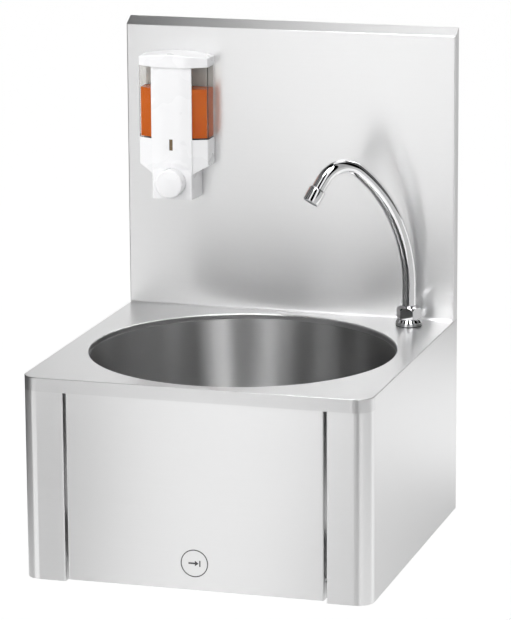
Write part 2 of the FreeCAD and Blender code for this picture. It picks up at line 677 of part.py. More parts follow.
def make_rails():
    """The rear rail on the wall and the rail that carries the valve, both welded in."""
    reach = casing_width / 2 - sheet_gauge
    rear_reach = casing_width / 2 - wall_flange - 1
    top = rail_base + rail_height
    rear = new_body("rear_rail")
    section = new_sketch(rear, "YZ", -rear_reach)
    outline(section, [(0, rail_base), (0, top), (-rail_gauge, top),
                      (-rail_gauge, rail_base + rail_gauge), (-rail_flange, rail_base + rail_gauge),
                      (-rail_flange, rail_base)])
    pad(rear, section, 2 * rear_reach)
    front = new_body("valve_rail")
    section = new_sketch(front, "YZ", -reach)
    face, back = -(rail_distance + rail_gauge), -rail_distance
    outline(section, [(face, rail_base), (face, top), (back, top), (back, rail_base + rail_gauge),
                      (back + rail_flange, rail_base + rail_gauge), (back + rail_flange, rail_base)])
    pad(front, section, 2 * reach)
    hole = new_sketch(front, "XZ", rail_distance - 1)
    circle(hole, 0, valve_height, neck_radius + 0.15)
    cut(front, hole, rail_gauge + 2)
    supply_room = new_sketch(front, "XY", rail_base - 1)
    room = inlet_across + leg_radius + 6
    rectangle(supply_room, -room, back, room, back + rail_flange + 1)
    cut(front, supply_room, rail_gauge + 2)


# ---------------------------------------------------------------- push panel
def make_push_panel():
    body = new_body("push_panel")
    half = panel_width / 2
    inner = half - sheet_gauge
    back, rear = -(front_plane - sheet_gauge), -(front_plane - strip_return)
    plan = new_sketch(body, "XY", panel_clearance)
    bend, inner_bend = edge_rounding + sheet_gauge, edge_rounding
    outline(plan, [(-half, rear), (-half, -front_plane, bend), (half, -front_plane, bend),
                   (half, rear), (inner, rear), (inner, back, inner_bend),
                   (-inner, back, inner_bend), (-inner, rear)])
    ear_top = pivot_height + 2 * pivot_radius
    pad(body, plan, ear_top - panel_clearance)
    foot = new_sketch(body, "XY", panel_clearance)
    rectangle(foot, -inner, back, inner, rear)
    pad(body, foot, sheet_gauge)
    top_cut = new_sketch(body, "XY", panel_top)
    rectangle(top_cut, -half - 1, -casing_depth, half + 1, -(front_plane - 5))
    cut(body, top_cut, lip_height)
    holes = new_sketch(body, "YZ", -half - 1)
    circle(holes, -(casing_depth - pivot_inset), pivot_height, pivot_radius + pivot_play)
    slot_half = stop_radius + stop_play
    slot_rear = -(casing_depth - stop_inset) + slot_half
    slot_front = slot_rear - 2 * slot_half - panel_travel
    outline(holes, [(slot_front, stop_height - slot_half, slot_half - 0.01),
                    (slot_rear, stop_height - slot_half, slot_half - 0.01),
                    (slot_rear, stop_height + slot_half, slot_half - 0.01),
                    (slot_front, stop_height + slot_half, slot_half - 0.01)])
    cut(body, holes, panel_width + 2)


def make_pins():
    """Pivot pins with their nylon washers, and the stop pins in the panel's slots."""
    inner = panel_width / 2 - sheet_gauge - 2.5
    head = slot_outer + sheet_gauge
    places = (("hinge_pins", pivot_inset, pivot_height, pivot_radius, 5.5),
              ("stop_pins", stop_inset, stop_height, stop_radius, 4.5))
    for label, inset, height, radius, head_radius in places:
        at = (0, -(casing_depth - inset), height)
        body = turned(label, at, [(0, inner), (radius, inner), (radius, head),
                                  (head_radius, head), (head_radius, head + 2, 1), (0, head + 2)],
                      RIGHTWARD)
        mirror(body, [body.Tip], "XY_Plane")
    at = (0, -(casing_depth - pivot_inset), pivot_height)
    washers = ring("hinge_washers", at, pivot_radius + 0.1, pivot_radius + 3,
                   panel_width / 2 + 0.2, slot_outer - 0.1, RIGHTWARD)
    mirror(washers, [washers.Tip], "XY_Plane")
    turned("striker_pad", (0, 0, valve_height),
           [(0, pad_face), (pad_radius, pad_face, 1), (pad_radius, pad_face + pad_height),
            (0, pad_face + pad_height)], FRONTWARD)


# ---------------------------------------------------------------- valve
def make_valve():
    at = (0, 0, valve_height)
    barrel_front = rail_distance
    barrel_rear = rail_distance - barrel_length
    seat = rail_distance - seat_depth
    body = turned("valve_body", at, [
        (0, barrel_rear), (barrel_radius, barrel_rear, 2), (barrel_radius, barrel_front),
        (neck_radius, barrel_front), (neck_radius, neck_front, 0.6), (0, neck_front)], FRONTWARD)
    arm = new_sketch(body, "YZ", -inlet_across)
    circle(arm, 0, inlet_distance, arm_radius)
    pad(body, arm, 2 * inlet_across)
    shoulder = inlet_end + inlet_thread
    for radius, top, low in ((leg_radius, leg_top, shoulder), (inlet_radius, shoulder + 1, inlet_end)):
        legs = new_sketch(body, "XZ", valve_height - top)
        for side in (-1, 1):
            circle(legs, side * inlet_across, inlet_distance, radius)
        pad(body, legs, top - low)
    for radius, reach in ((outlet_radius + 2.5, outlet_reach - 12), (outlet_radius, outlet_reach)):
        boss = new_sketch(body, "YZ")
        circle(boss, 0, outlet_distance, radius)
        pad(body, boss, reach)
    drop = valve_height - knob_base - knob_height - contact_gap
    gland = new_sketch(body, "XZ")
    circle(gland, 0, inlet_distance, spindle_radius + 4)
    pad(body, gland, drop)
    bore = new_sketch(body, "XZ")
    outline(bore, [(0, seat - chamber_length), (chamber_radius, seat - chamber_length),
                   (chamber_radius, seat), (rod_radius + sliding_play, seat),
                   (rod_radius + sliding_play, neck_front + 1), (0, neck_front + 1)])
    turn(body, "Groove", bore)
    for start, distance, radius, length in (
            (-inlet_across, inlet_distance, arm_bore, 2 * inlet_across),
            (barrel_radius - 4, outlet_distance, hose_bore, outlet_reach)):
        way = new_sketch(body, "YZ", start)
        circle(way, 0, distance, radius)
        cut(body, way, length)
    outlet_way = new_sketch(body, "XY", outlet_distance - hose_bore)
    rectangle(outlet_way, 0, -hose_bore, barrel_radius - 2, hose_bore)
    cut(body, outlet_way, seat - chamber_length - outlet_distance + hose_bore + 1)
    inlets = new_sketch(body, "XZ", -arm_bore)
    for side in (-1, 1):
        circle(inlets, side * inlet_across, inlet_distance, inlet_bore)
    cut(body, inlets, valve_height)
    spindle_way = new_sketch(body, "XZ", inlet_bore)
    circle(spindle_way, 0, inlet_distance, spindle_radius + sliding_play)
    cut(body, spindle_way, drop)

    nut_face = rail_distance + rail_gauge
    hex_nut("valve_locknut", at, 32, neck_radius + thread_play, nut_face, nut_face + 7, FRONTWARD)
    head_rear = head_front - button_height
    crown_start = button_radius - 7
    piston_front = seat - 3
    turned("valve_plunger", at, [
        (0, piston_front - 4), (chamber_radius - 1, piston_front - 4),
        (chamber_radius - 1, piston_front), (rod_radius, piston_front), (rod_radius, head_rear),
        (button_radius, head_rear, 1), (button_radius, head_front - button_crown, 1),
        (crown_start, head_front, button_crown_radius), (0, head_front)], FRONTWARD)
    ring("valve_seal", at, rod_radius, chamber_radius - 1, piston_front, seat - contact_gap,
         FRONTWARD)
    coil_spring("valve_spring", at, 9.4, 0.8, neck_front + 0.1, head_rear - 0.1, 4, FRONTWARD)
    checks = new_body("inlet_check_valves", (0, -inlet_distance, 0))
    section = new_sketch(checks, "XY", inlet_end + 3)
    for side in (-1, 1):
        circle(section, side * inlet_across, 0, inlet_bore - 0.05)
        circle(section, side * inlet_across, 0, inlet_bore - 3)
    pad(checks, section, check_length)

    knob_top = knob_base + knob_height
    spindle_at = (0, -inlet_distance, 0)
    spindle_end = valve_height - chamber_radius - 0.2
    turned("mixer_spindle", spindle_at, [
        (0, knob_base + 3), (spindle_radius - 1, knob_base + 3), (spindle_radius - 1, knob_top),
        (spindle_radius, knob_top), (spindle_radius, spindle_end), (0, spindle_end)])
    knob = turned("mixer_knob", spindle_at, [
        (0, knob_base), (knob_radius, knob_base, 2), (knob_radius, knob_top, 1),
        (spindle_radius - 1, knob_top), (spindle_radius - 1, knob_base + 3), (0, knob_base + 3)])
    grip = new_sketch(knob, "XY", knob_base)
    circle(grip, knob_radius + 1, 0, 2.2)
    ring_pattern(knob, [cut(knob, grip, knob_height)], 10)


# ---------------------------------------------------------------- hose
def make_hose():
    """A hose on straight runs and tangent arcs, from the valve to the spout's shank."""
    start = FreeCAD.Vector((outlet_reach + 0.2).value, -outlet_distance.value, valve_height.value)
    end = FreeCAD.Vector(spout_across.value, -spout_distance.value,
                         (deck_height - shank_length - 0.2).value)
    wall_side = casing_width.value / 2 - 34
    route = [start,
             start + FreeCAD.Vector(52, 0, 0),
             FreeCAD.Vector(wall_side - 28, start.y + 26, start.z + 4),
             FreeCAD.Vector(wall_side, start.y + 82, start.z + 10),
             FreeCAD.Vector(wall_side + 2, start.y + 150, start.z + 20),
             FreeCAD.Vector(end.x + 6, end.y - 34, start.z + 44),
             FreeCAD.Vector(end.x, end.y, end.z - 52),
             end]
    edges, radii, here = [], [], route[0]
    for before, corner, after in zip(route, route[1:], route[2:]):
        run_in, run_out = corner - before, after - corner
        reach = 0.45 * min(run_in.Length, run_out.Length)
        first, last = corner - unit(run_in) * reach, corner + unit(run_out) * reach
        arc, radius = bend(first, corner, last)
        edges += [Part.LineSegment(here, first).toShape(), arc]
        radii.append(radius)
        here = last
    edges.append(Part.LineSegment(here, route[-1]).toShape())
    path = Part.Wire(edges)
    direction = unit(route[1] - route[0])
    tubes = []
    for radius in (hose_radius.value, hose_bore.value):
        profile = Part.Wire(Part.makeCircle(radius, route[0], direction))
        tubes.append(path.makePipeShell([profile], True, True))
    shape = tubes[0].cut(tubes[1])
    section = math.pi * (hose_radius.value ** 2 - hose_bore.value ** 2)
    print(f"hose: length {path.Length:.0f} mm, bend radii", [round(r) for r in radii],
          f"volume over section times length {shape.Volume / section / path.Length:.4f}")
    hose = doc.addObject("Part::Feature", "hose")
    hose.Label = "hose"
    hose.Shape = shape
    place(hose, (0, 0, 0), UPRIGHT)
    pieces.append(hose)

    at = (0, -outlet_distance, valve_height)
    nut = hex_nut("hose_nut_valve", at, 17, hose_radius + 0.2, outlet_reach - 8, outlet_reach + 7,
                  RIGHTWARD)
    thread = new_sketch(nut, "XY", outlet_reach - 9)
    circle(thread, 0, 0, outlet_radius + thread_play)
    cut(nut, thread, as_size(9.2))
    at = (spout_across, -spout_distance, deck_height)
    nut = hex_nut("hose_nut_spout", at, 24, hose_radius + 0.2, -shank_length - 6,
                  -shank_length + 9)
    thread = new_sketch(nut, "XY", -shank_length - 0.2)
    circle(thread, 0, 0, shank_radius + thread_play)
    cut(nut, thread, as_size(10))


# ---------------------------------------------------------------- spout
def make_spout_base():
    at = (spout_across, -spout_distance, deck_height)
    socket = tube_radius + tube_play
    groove = socket + 1.65
    flange_top = base_gasket + base_rise
    ring("spout_gasket", at, shank_radius + 0.2, base_radius - 0.6, 0, base_gasket)
    turned("spout_base", at, [
        (5, -shank_length), (shank_radius, -shank_length, 0.8), (shank_radius, base_gasket),
        (base_radius, base_gasket), (base_radius, base_gasket + 3.5, 1.5),
        (shank_radius + 3, flange_top, 1.5), (shank_radius, flange_top),
        (shank_radius, socket_height),
        (socket, socket_height), (socket, socket_height - 3.6), (groove, socket_height - 3.6),
        (groove, socket_height - 6), (socket, socket_height - 6), (socket, tube_seat - 2),
        (5, tube_seat - 2)])
    seal = new_body("spout_o_ring", at)
    section = new_sketch(seal, "XZ")
    circle(section, (tube_radius + groove) / 2 + 0.02, socket_height - 4.8, 0.8)
    turn(seal, "Revolution", section)
    under = -sheet_gauge
    ring("spout_backing_washer", at, shank_radius + 0.3, base_radius, under - 1.5, under)
    hex_nut("spout_backnut", at, backnut_flats, shank_radius + thread_play,
            under - 1.5 - backnut_height, under - 1.5)

    nut = new_body("spout_union_nut", at)
    flats = new_sketch(nut, "XY", flange_top + 0.1)
    hexagon(flats, union_flats)
    pad(nut, flats, union_top - flange_top - 0.1)
    dome = new_sketch(nut, "XZ")
    crown = union_flats / 2
    outline(dome, [(crown + 6, union_top + 1), (crown - 3.6, union_top + 1),
                   (crown - 3.6, union_top), (crown + 0.6, union_top - 2, 2),
                   (crown + 2.2, union_top - 6), (crown + 6, union_top - 6)])
    turn(nut, "Groove", dome)
    chamfer = new_sketch(nut, "XZ")
    outline(chamfer, [(crown - 0.1, flange_top), (crown + 6, flange_top),
                      (crown + 6, flange_top + 4)])
    turn(nut, "Groove", chamfer)
    bore = new_sketch(nut, "XZ")
    cavity = socket_height + 2.6
    outline(bore, [(0, flange_top), (shank_radius + thread_play, flange_top),
                   (shank_radius + thread_play, cavity), (tube_radius + 0.3, cavity),
                   (tube_radius + 0.3, union_top + 1), (0, union_top + 1)])
    turn(nut, "Groove", bore)
    ring("spout_slip_ring", at, tube_radius + 0.2, shank_radius, socket_height + 1.7,
         cavity - 0.05)


def make_spout():
    """The tube follows a riser, a long bend, a short bend and a straight end."""
    turn_to = FreeCAD.Rotation(FreeCAD.Vector(0, 0, 1), 180 + spout_turn.value)
    body = new_body("spout_tube", (spout_across, -spout_distance, deck_height), turn_to)
    bend_x = sweep_radius * (1 - cosine(sweep_angle))
    bend_z = riser_height + sweep_radius * sine(sweep_angle)
    centre_x = bend_x + crook_radius * cosine(sweep_angle)
    centre_z = bend_z - crook_radius * sine(sweep_angle)
    crook_x = centre_x + crook_radius * sine(outlet_angle)
    crook_z = centre_z + crook_radius * cosine(outlet_angle)

    def along(length):
        return (crook_x + length * cosine(outlet_angle), crook_z - length * sine(outlet_angle))

    tube_end = along(outlet_straight - aerator_length + tube_in_aerator)
    face = along(outlet_straight)
    spots = [(as_size(0), tube_seat), (as_size(0), riser_height), (bend_x, bend_z),
             (crook_x, crook_z), tube_end]
    dots = [FreeCAD.Vector(x.value, z.value, 0) for x, z in spots]
    normal = FreeCAD.Vector(0, 0, 1)
    rise = 90 - sweep_angle.value
    shapes = [
        Part.LineSegment(dots[0], dots[1]),
        Part.ArcOfCircle(Part.Circle(FreeCAD.Vector(sweep_radius.value, riser_height.value, 0),
                                     normal, sweep_radius.value),
                         math.radians(90 + rise), math.radians(180)),
        Part.ArcOfCircle(Part.Circle(FreeCAD.Vector(centre_x.value, centre_z.value, 0),
                                     normal, crook_radius.value),
                         math.radians(90 - outlet_angle.value), math.radians(90 + rise)),
        Part.LineSegment(dots[3], dots[4])]
    constraints, formulas = [], {}
    pin_point(constraints, formulas, 0, 1, *spots[0])
    pin_point(constraints, formulas, 0, 2, *spots[1])
    constraints += [Sketcher.Constraint("Tangent", 0, 2, 1, 2),
                    Sketcher.Constraint("Tangent", 1, 1, 2, 2),
                    Sketcher.Constraint("Tangent", 2, 1, 3, 1)]
    for arc, radius in ((1, sweep_radius), (2, crook_radius)):
        formulas[len(constraints)] = radius
        constraints.append(Sketcher.Constraint("Radius", arc, radius.value))
    formulas[len(constraints)] = bend_x
    constraints.append(Sketcher.Constraint("DistanceX", -1, 1, 1, 1, bend_x.value))
    pin_point(constraints, formulas, 3, 2, *tube_end)
    spine = new_sketch(body, "XZ")
    close_sketch(spine, shapes, constraints, formulas)
    section = new_sketch(body, "XY", tube_seat)
    circle(section, 0, 0, tube_radius)
    circle(section, 0, 0, tube_radius - tube_gauge)
    pipe = body.newObject("PartDesign::AdditivePipe", "spout_tube_pipe")
    pipe.Profile = section
    pipe.Spine = (spine, [])
    bead = new_sketch(body, "XZ")
    rectangle(bead, tube_radius - 0.5, socket_height + 0.1, tube_radius + 1.8,
              socket_height + 1.6)
    turn(body, "Revolution", bead)

    # The aerator's axis points back up the tube from the centre of the outlet.
    tilt = FreeCAD.Rotation(FreeCAD.Vector(0, 1, 0), -(90 - outlet_angle.value))
    facing = turn_to.multiply(tilt)
    out_x = -face[0] * cosine(spout_turn)
    out_y = -face[0] * sine(spout_turn)
    at = (spout_across + out_x, out_y - spout_distance, deck_height + face[1])
    bore = aerator_length - tube_in_aerator
    turned("aerator_housing", at, [
        (aerator_radius - 1.5, 0), (aerator_radius - 0.4, 0, 0.2), (aerator_radius, 0.8, 0.4),
        (aerator_radius, aerator_length - 1.4, 0.6), (aerator_radius - 1, aerator_length, 0.4),
        (tube_radius, aerator_length), (tube_radius, bore), (tube_radius - 1.2, bore),
        (tube_radius - 1.2, bore - 1), (aerator_radius - 1.5, bore - 1)], facing)
    screen_radius = aerator_radius - 1.55
    insert = turned("aerator_insert", at, [
        (0, 1), (screen_radius, 1, 0.5), (screen_radius, bore - 2.8), (0, bore - 2.8)], facing)
    for count, distance in ((6, 2.6), (12, 5.4)):
        jets = new_sketch(insert, "XY", as_size(0))
        circle(jets, distance, 0, 0.75)
        ring_pattern(insert, [cut(insert, jets, bore)], count)
    ring("aerator_gasket", at, tube_radius - 2, screen_radius, bore - 2.8, bore - 1, facing)


# ---------------------------------------------------------------- waste
def make_waste():
    at = (0, -bowl_centre, 0)
    seat = recess_floor + gasket_height
    under = recess_floor - sheet_gauge
    cup_top = under - gasket_height
    reach = waste_flange_radius
    mouth = waste_hole_radius - 1.5
    ring("waste_gasket_upper", at, waste_hole_radius + 1, reach, recess_floor, seat)
    strainer = turned("waste_strainer", at, [
        (0, seat - 5), (mouth - 4, seat - 5, 1), (mouth - 0.6, seat, 1), (reach, seat),
        (reach, seat + 1.5, 0.7), (mouth - 1.4, seat + 1.5, 2), (mouth - 5, seat - 3.6, 1.5),
        (0, seat - 3.6)])
    screw_way = new_sketch(strainer, "XY", seat - 6)
    circle(screw_way, 0, 0, 3.2)
    cut(strainer, screw_way, as_size(4))
    for count, distance in ((8, 9), (14, 15.5)):
        slots = new_sketch(strainer, "XY", seat - 6)
        circle(slots, distance, 0, 2)
        ring_pattern(strainer, [cut(strainer, slots, as_size(4))], count)
    turned("waste_screw", at, [
        (0, cup_top - 22), (3, cup_top - 22, 0.5), (3, seat - 3.6), (5.5, seat - 3.6),
        (5.5, seat - 1.6, 1.5), (0, seat - 1.6)])
    ring("waste_gasket_lower", at, waste_hole_radius + 1, reach, cup_top, under)
    tail_top = waste_tail_end + waste_tail_length
    tail_bore = waste_tail_radius - 3
    cup = turned("waste_cup", at, [
        (waste_hole_radius + 0.5, cup_top), (reach, cup_top), (reach, cup_top - 3),
        (waste_hole_radius + 3.5, cup_top - 3, 1), (waste_hole_radius + 3.5, tail_top + 8, 4),
        (waste_tail_radius, tail_top), (waste_tail_radius, waste_tail_end, 0.8),
        (tail_bore, waste_tail_end), (tail_bore, tail_top + 2), (waste_hole_radius + 0.5, tail_top + 12, 3)])
    boss = new_sketch(cup, "XY", cup_top - 20)
    circle(boss, 0, 0, 7)
    pad(cup, boss, as_size(12))
    for plane in ("YZ", "XZ"):
        bridge = new_sketch(cup, plane, -waste_hole_radius - 2)
        rectangle(bridge, -2, cup_top - 20, 2, cup_top - 14)
        pad(cup, bridge, 2 * waste_hole_radius + 4)
    screw_hole = new_sketch(cup, "XY", cup_top - 23)
    circle(screw_hole, 0, 0, 3.05)
    cut(cup, screw_hole, as_size(16))


# ---------------------------------------------------------------- soap dispenser
def soap_outline(sketch, inset):
    """The dispenser's plan, drawn in by an inset: straight sides and two slanted front faces."""
    back, side, front = -(plate_gauge + wall_gap + inset), -(soap_side - inset * 0.6), -(soap_front - inset)
    half, band = soap_half - inset, band_half - inset * 0.4
    outline(sketch, [(-half, back), (-half, side, 2.2), (-band, front), (band, front),
                     (half, side, 2.2), (half, back)])


def make_dispenser_shell():
    at = (soap_across, -soap_wall, 0)
    plate = new_body("soap_wall_plate", at)
    face = new_sketch(plate, "XZ")
    half = soap_half - 1.5
    stem = stem_half + stem_flare - 1.5
    outline(face, [(-half, tank_top - 1, 2), (-half, cover_base + 1.5), (-stem, stem_top + 1),
                   (-stem, stem_base + 2), (stem, stem_base + 2), (stem, stem_top + 1),
                   (half, cover_base + 1.5), (half, tank_top - 1, 2)])
    pad(plate, face, plate_gauge)
    for radius, depth in ((plate_screw_radius + 0.1, 0), (plate_head_radius + 0.1, plate_gauge - 1.8)):
        holes = new_sketch(plate, "XZ", depth)
        for height in plate_screw_heights:
            circle(holes, 0, height, radius)
        cut(plate, holes, plate_gauge)

    screws = new_body("soap_plate_screws", at)
    nuts = new_body("soap_plate_nuts", at)
    for piece, start, radius, length in (
            (screws, plate_gauge - 1.7, plate_head_radius, 1.7),
            (screws, -sheet_gauge - 5, plate_screw_radius, sheet_gauge + 5 + plate_gauge - 1.7)):
        section = new_sketch(piece, "XZ", start)
        for height in plate_screw_heights:
            circle(section, 0, height, radius)
        pad(piece, section, as_size(length))
    section = new_sketch(nuts, "XZ", -sheet_gauge - 3.2)
    for height in plate_screw_heights:
        circle(section, 0, height, plate_screw_radius + 0.05)
        corner = 2 * plate_screw_radius
        outline(section, [(corner * math.cos(math.radians(60 * k)),
                           height + corner * math.sin(math.radians(60 * k))) for k in range(6)])
    pad(nuts, section, as_size(3.2))

    tank = new_body("soap_tank", at)
    walls = new_sketch(tank, "XY", tank_base)
    soap_outline(walls, as_size(0))
    pad(tank, walls, tank_top - tank_base)
    hollow = new_sketch(tank, "XY", tank_base + moulding)
    soap_outline(hollow, moulding)
    cut(tank, hollow, tank_top - tank_base)
    port = new_sketch(tank, "XY", tank_base - 1)
    circle(port, 0, -nozzle_distance, 3)
    cut(tank, port, moulding + 2)
    fill = new_body("soap_fill", at)
    body_of_soap = new_sketch(fill, "XY", tank_base + moulding + 0.05)
    soap_outline(body_of_soap, moulding + 0.05)
    pad(fill, body_of_soap, fill_level - tank_base - moulding)


def make_dispenser_cover():
    at = (soap_across, -soap_wall, 0)
    cover = new_body("soap_cover", at)
    housing = new_sketch(cover, "XY", stem_top)
    soap_outline(housing, as_size(0))
    pad(cover, housing, tank_base - wall_gap - stem_top)
    for side in (-1, 1):
        wedge = new_sketch(cover, "XZ")
        outline(wedge, [(side * (soap_half + 1), cover_base), (side * soap_half, cover_base),
                        (side * stem_half, stem_top), (side * stem_half, stem_top - 1),
                        (side * (soap_half + 1), stem_top - 1)])
        cut(cover, wedge, lid_front)
    rear = -(plate_gauge + wall_gap)
    flare = stem_half + stem_flare
    stem = new_sketch(cover, "XY", stem_base)
    outline(stem, [(-flare, rear), (-stem_half, -stem_front, 2), (stem_half, -stem_front, 2),
                   (flare, rear)])
    pad(cover, stem, stem_top - stem_base)
    band = new_sketch(cover, "XY", stem_top - 0.5)
    face = -(soap_front + wall_gap)
    crown = face - band_bulge
    outline(band, [(-band_half, face), (-band_half, face - 1.4, 0.8), (-band_half / 2, crown, 30),
                   (band_half / 2, crown, 30), (band_half, face - 1.4, 0.8), (band_half, face)])
    pad(cover, band, tank_top - stem_top + 0.5)
    shoulder = new_sketch(cover, "YZ", -band_half - 1)
    outline(shoulder, [(-stem_front, stem_top - 1), (-stem_front, stem_top + 6),
                       (crown - 1, stem_top + 16), (crown - 1, stem_top - 1)])
    cut(cover, shoulder, 2 * band_half + 2)
    room = new_sketch(cover, "XY", stem_top + moulding)
    inner = soap_half - moulding
    outline(room, [(-inner, rear + 1), (-inner, -(soap_side - moulding), 2),
                   (-band_half, -(soap_front - moulding)), (band_half, -(soap_front - moulding)),
                   (inner, -(soap_side - moulding), 2), (inner, rear + 1)])
    wedge_room = cut(cover, room, tank_base - wall_gap - stem_top - 2 * moulding)
    for side in (-1, 1):
        web = new_sketch(cover, "XZ", plate_gauge + wall_gap)
        outline(web, [(side * (soap_half - 0.1), cover_base + moulding),
                      (side * (soap_half - 0.1), cover_base), (side * stem_half, stem_top),
                      (side * (stem_half - 2), stem_top),
                      (side * (stem_half - 2), stem_top + moulding * 1.15)])
        pad(cover, web, soap_side - moulding - plate_gauge)
    channel = new_sketch(cover, "XY", stem_base + moulding)
    side = stem_half - moulding
    outline(channel, [(-side - 1, rear + 1), (-side, -(stem_front - moulding), 1),
                      (side, -(stem_front - moulding), 1), (side + 1, rear + 1)])
    cut(cover, channel, stem_top - stem_base + 1)
    flange_room = new_sketch(cover, "XZ", stem_front - moulding - 10)
    circle(flange_room, 0, push_height, push_radius + 1.3 + push_play)
    cut(cover, flange_room, as_size(10))
    push_hole = new_sketch(cover, "XZ", stem_front - moulding - 1)
    circle(push_hole, 0, push_height, push_radius + push_play)
    cut(cover, push_hole, as_size(12))
    sight = new_sketch(cover, "XZ", soap_front + band_bulge - 2.2)
    rectangle(sight, -2.15, tank_base - 13, 2.15, tank_base + 0.3)
    cut(cover, sight, as_size(4))
    ways = new_sketch(cover, "XY", stem_base - 1)
    circle(ways, 0, -nozzle_distance, nozzle_radius + 0.1)
    cut(cover, ways, moulding + 2)
    feed = new_sketch(cover, "XY", tank_base - 3 * moulding)
    circle(feed, 0, -nozzle_distance, 5.2)
    cut(cover, feed, 4 * moulding)

    window = new_body("soap_sight_window", at)
    pane = new_sketch(window, "XZ", soap_front + band_bulge - 2.15)
    rectangle(pane, -2.1, tank_base - 12.95, 2.1, tank_base + 0.25)
    pad(window, pane, as_size(1.4))


def make_dispenser_lid():
    lid = new_body("soap_lid", (soap_across, -soap_wall, 0))
    base = tank_top + 0.05
    edge = base + lid_side
    plan = new_sketch(lid, "XY", base)
    outline(plan, [(-soap_half, -0.4), (-soap_half, -soap_side, 3),
                   (-band_half + 4, -lid_front, 22), (band_half - 4, -lid_front, 22),
                   (soap_half, -soap_side, 3), (soap_half, -0.4)])
    pad(lid, plan, lid_side + lid_crown)
    arch = new_sketch(lid, "XZ", -1)
    outline(arch, [(-soap_half - 2, edge + lid_crown + 2), (-soap_half - 2, edge),
                   (0, edge + lid_crown, 180), (soap_half + 2, edge),
                   (soap_half + 2, edge + lid_crown + 2)])
    cut(lid, arch, lid_front + 3)
    top = base.value + lid_side.value / 2

    def upper(edge):
        middle = edge.valueAt((edge.FirstParameter + edge.LastParameter) / 2)
        flat = edge.BoundBox.ZMax - edge.BoundBox.ZMin < lid_crown.value
        return edge.BoundBox.ZMin > top and flat and middle.y < -1

    round_edges(lid, 1.8, upper)
    hollow = new_sketch(lid, "XY", base)
    inner = soap_half - moulding
    outline(hollow, [(-inner, -0.4 - moulding), (-inner, -soap_side + 0.6, 2),
                     (-band_half + 4, -lid_front + moulding, 20),
                     (band_half - 4, -lid_front + moulding, 20),
                     (inner, -soap_side + 0.6, 2), (inner, -0.4 - moulding)])
    cut(lid, hollow, lid_side - moulding)


def make_pump():
    at = (soap_across, -soap_wall, push_height)
    stem_wall = stem_front - moulding
    flange = push_radius + 1.3
    inside = push_front - moulding - 0.4
    piston_end = pump_rear + 3.5 + push_travel
    turned("soap_button", at, [
        (0, inside), (push_radius - moulding, inside), (push_radius - moulding, stem_wall - 1.8),
        (flange, stem_wall - 1.8), (flange, stem_wall - 0.3), (push_radius, stem_wall - 0.3),
        (push_radius, push_front - 1.2, 2.4), (6, push_front, 30), (0, push_front)], FRONTWARD)
    turned("soap_piston", at, [
        (0, piston_end), (piston_radius, piston_end), (piston_radius, inside - 0.05),
        (0, inside - 0.05)], FRONTWARD)
    coil_spring("soap_spring", at, 6.6, 0.5, pump_front + 0.1, inside - 0.1, 8, FRONTWARD)
    pump = turned("soap_pump_body", at, [
        (0, pump_rear), (pump_radius, pump_rear, 1), (pump_radius, pump_front, 1),
        (piston_radius + sliding_play, pump_front), (piston_radius + sliding_play, pump_rear + 3),
        (0, pump_rear + 3)], FRONTWARD)
    feed = new_sketch(pump, "XZ", -pump_radius + 1)
    circle(feed, 0, nozzle_distance, 5)
    pad(pump, feed, tank_base - push_height - pump_radius + 1, forward=False)
    nozzle = ring("soap_nozzle", (soap_across, -soap_wall - nozzle_distance, 0), 1.5,
                  nozzle_radius, nozzle_base, push_height - pump_radius)


make_deck()
make_bowl()
make_side_panel("side_panel_left", -1)
make_side_panel("side_panel_right", 1)
make_backsplash()
make_rails()
make_push_panel()
make_pins()
make_valve()
make_hose()
make_spout_base()
make_spout()
make_waste()
make_dispenser_shell()
make_dispenser_cover()
make_dispenser_lid()
make_pump()

doc.recompute()

faults = [item.Name for item in doc.Objects if "Invalid" in item.State or "Error" in item.State]
for piece in pieces:
    if piece.Shape.isNull() or not piece.Shape.isValid():
        faults.append(piece.Label + " has no valid shape")
if faults:
    raise SystemExit("not built: " + ", ".join(faults))

os.makedirs("parts", exist_ok=True)
for piece in pieces:
    piece.Shape.exportStep(f"parts/{piece.Label}.step")
    print(f"{piece.Label}: {len(piece.Shape.Solids)} solid(s), {piece.Shape.Volume:.0f} mm3")
print(len(pieces), "nodes")
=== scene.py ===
# %% [markdown]
# A hand wash sink in brushed stainless steel hangs on a wall. It has a round bowl, a panel that
# is pushed with the knee, a swan-neck spout and a soap dispenser. Most pieces come from the frame
# as they are and get their finishes here. The swan neck, its outlet and the springs are worked
# out again as smooth surfaces, because a polished one shows every flat of a coarse mesh. Pipe
# threads and the panel's push mark are added.

import math

import bpy
import numpy as np
from mathutils import Euler, Matrix, Vector


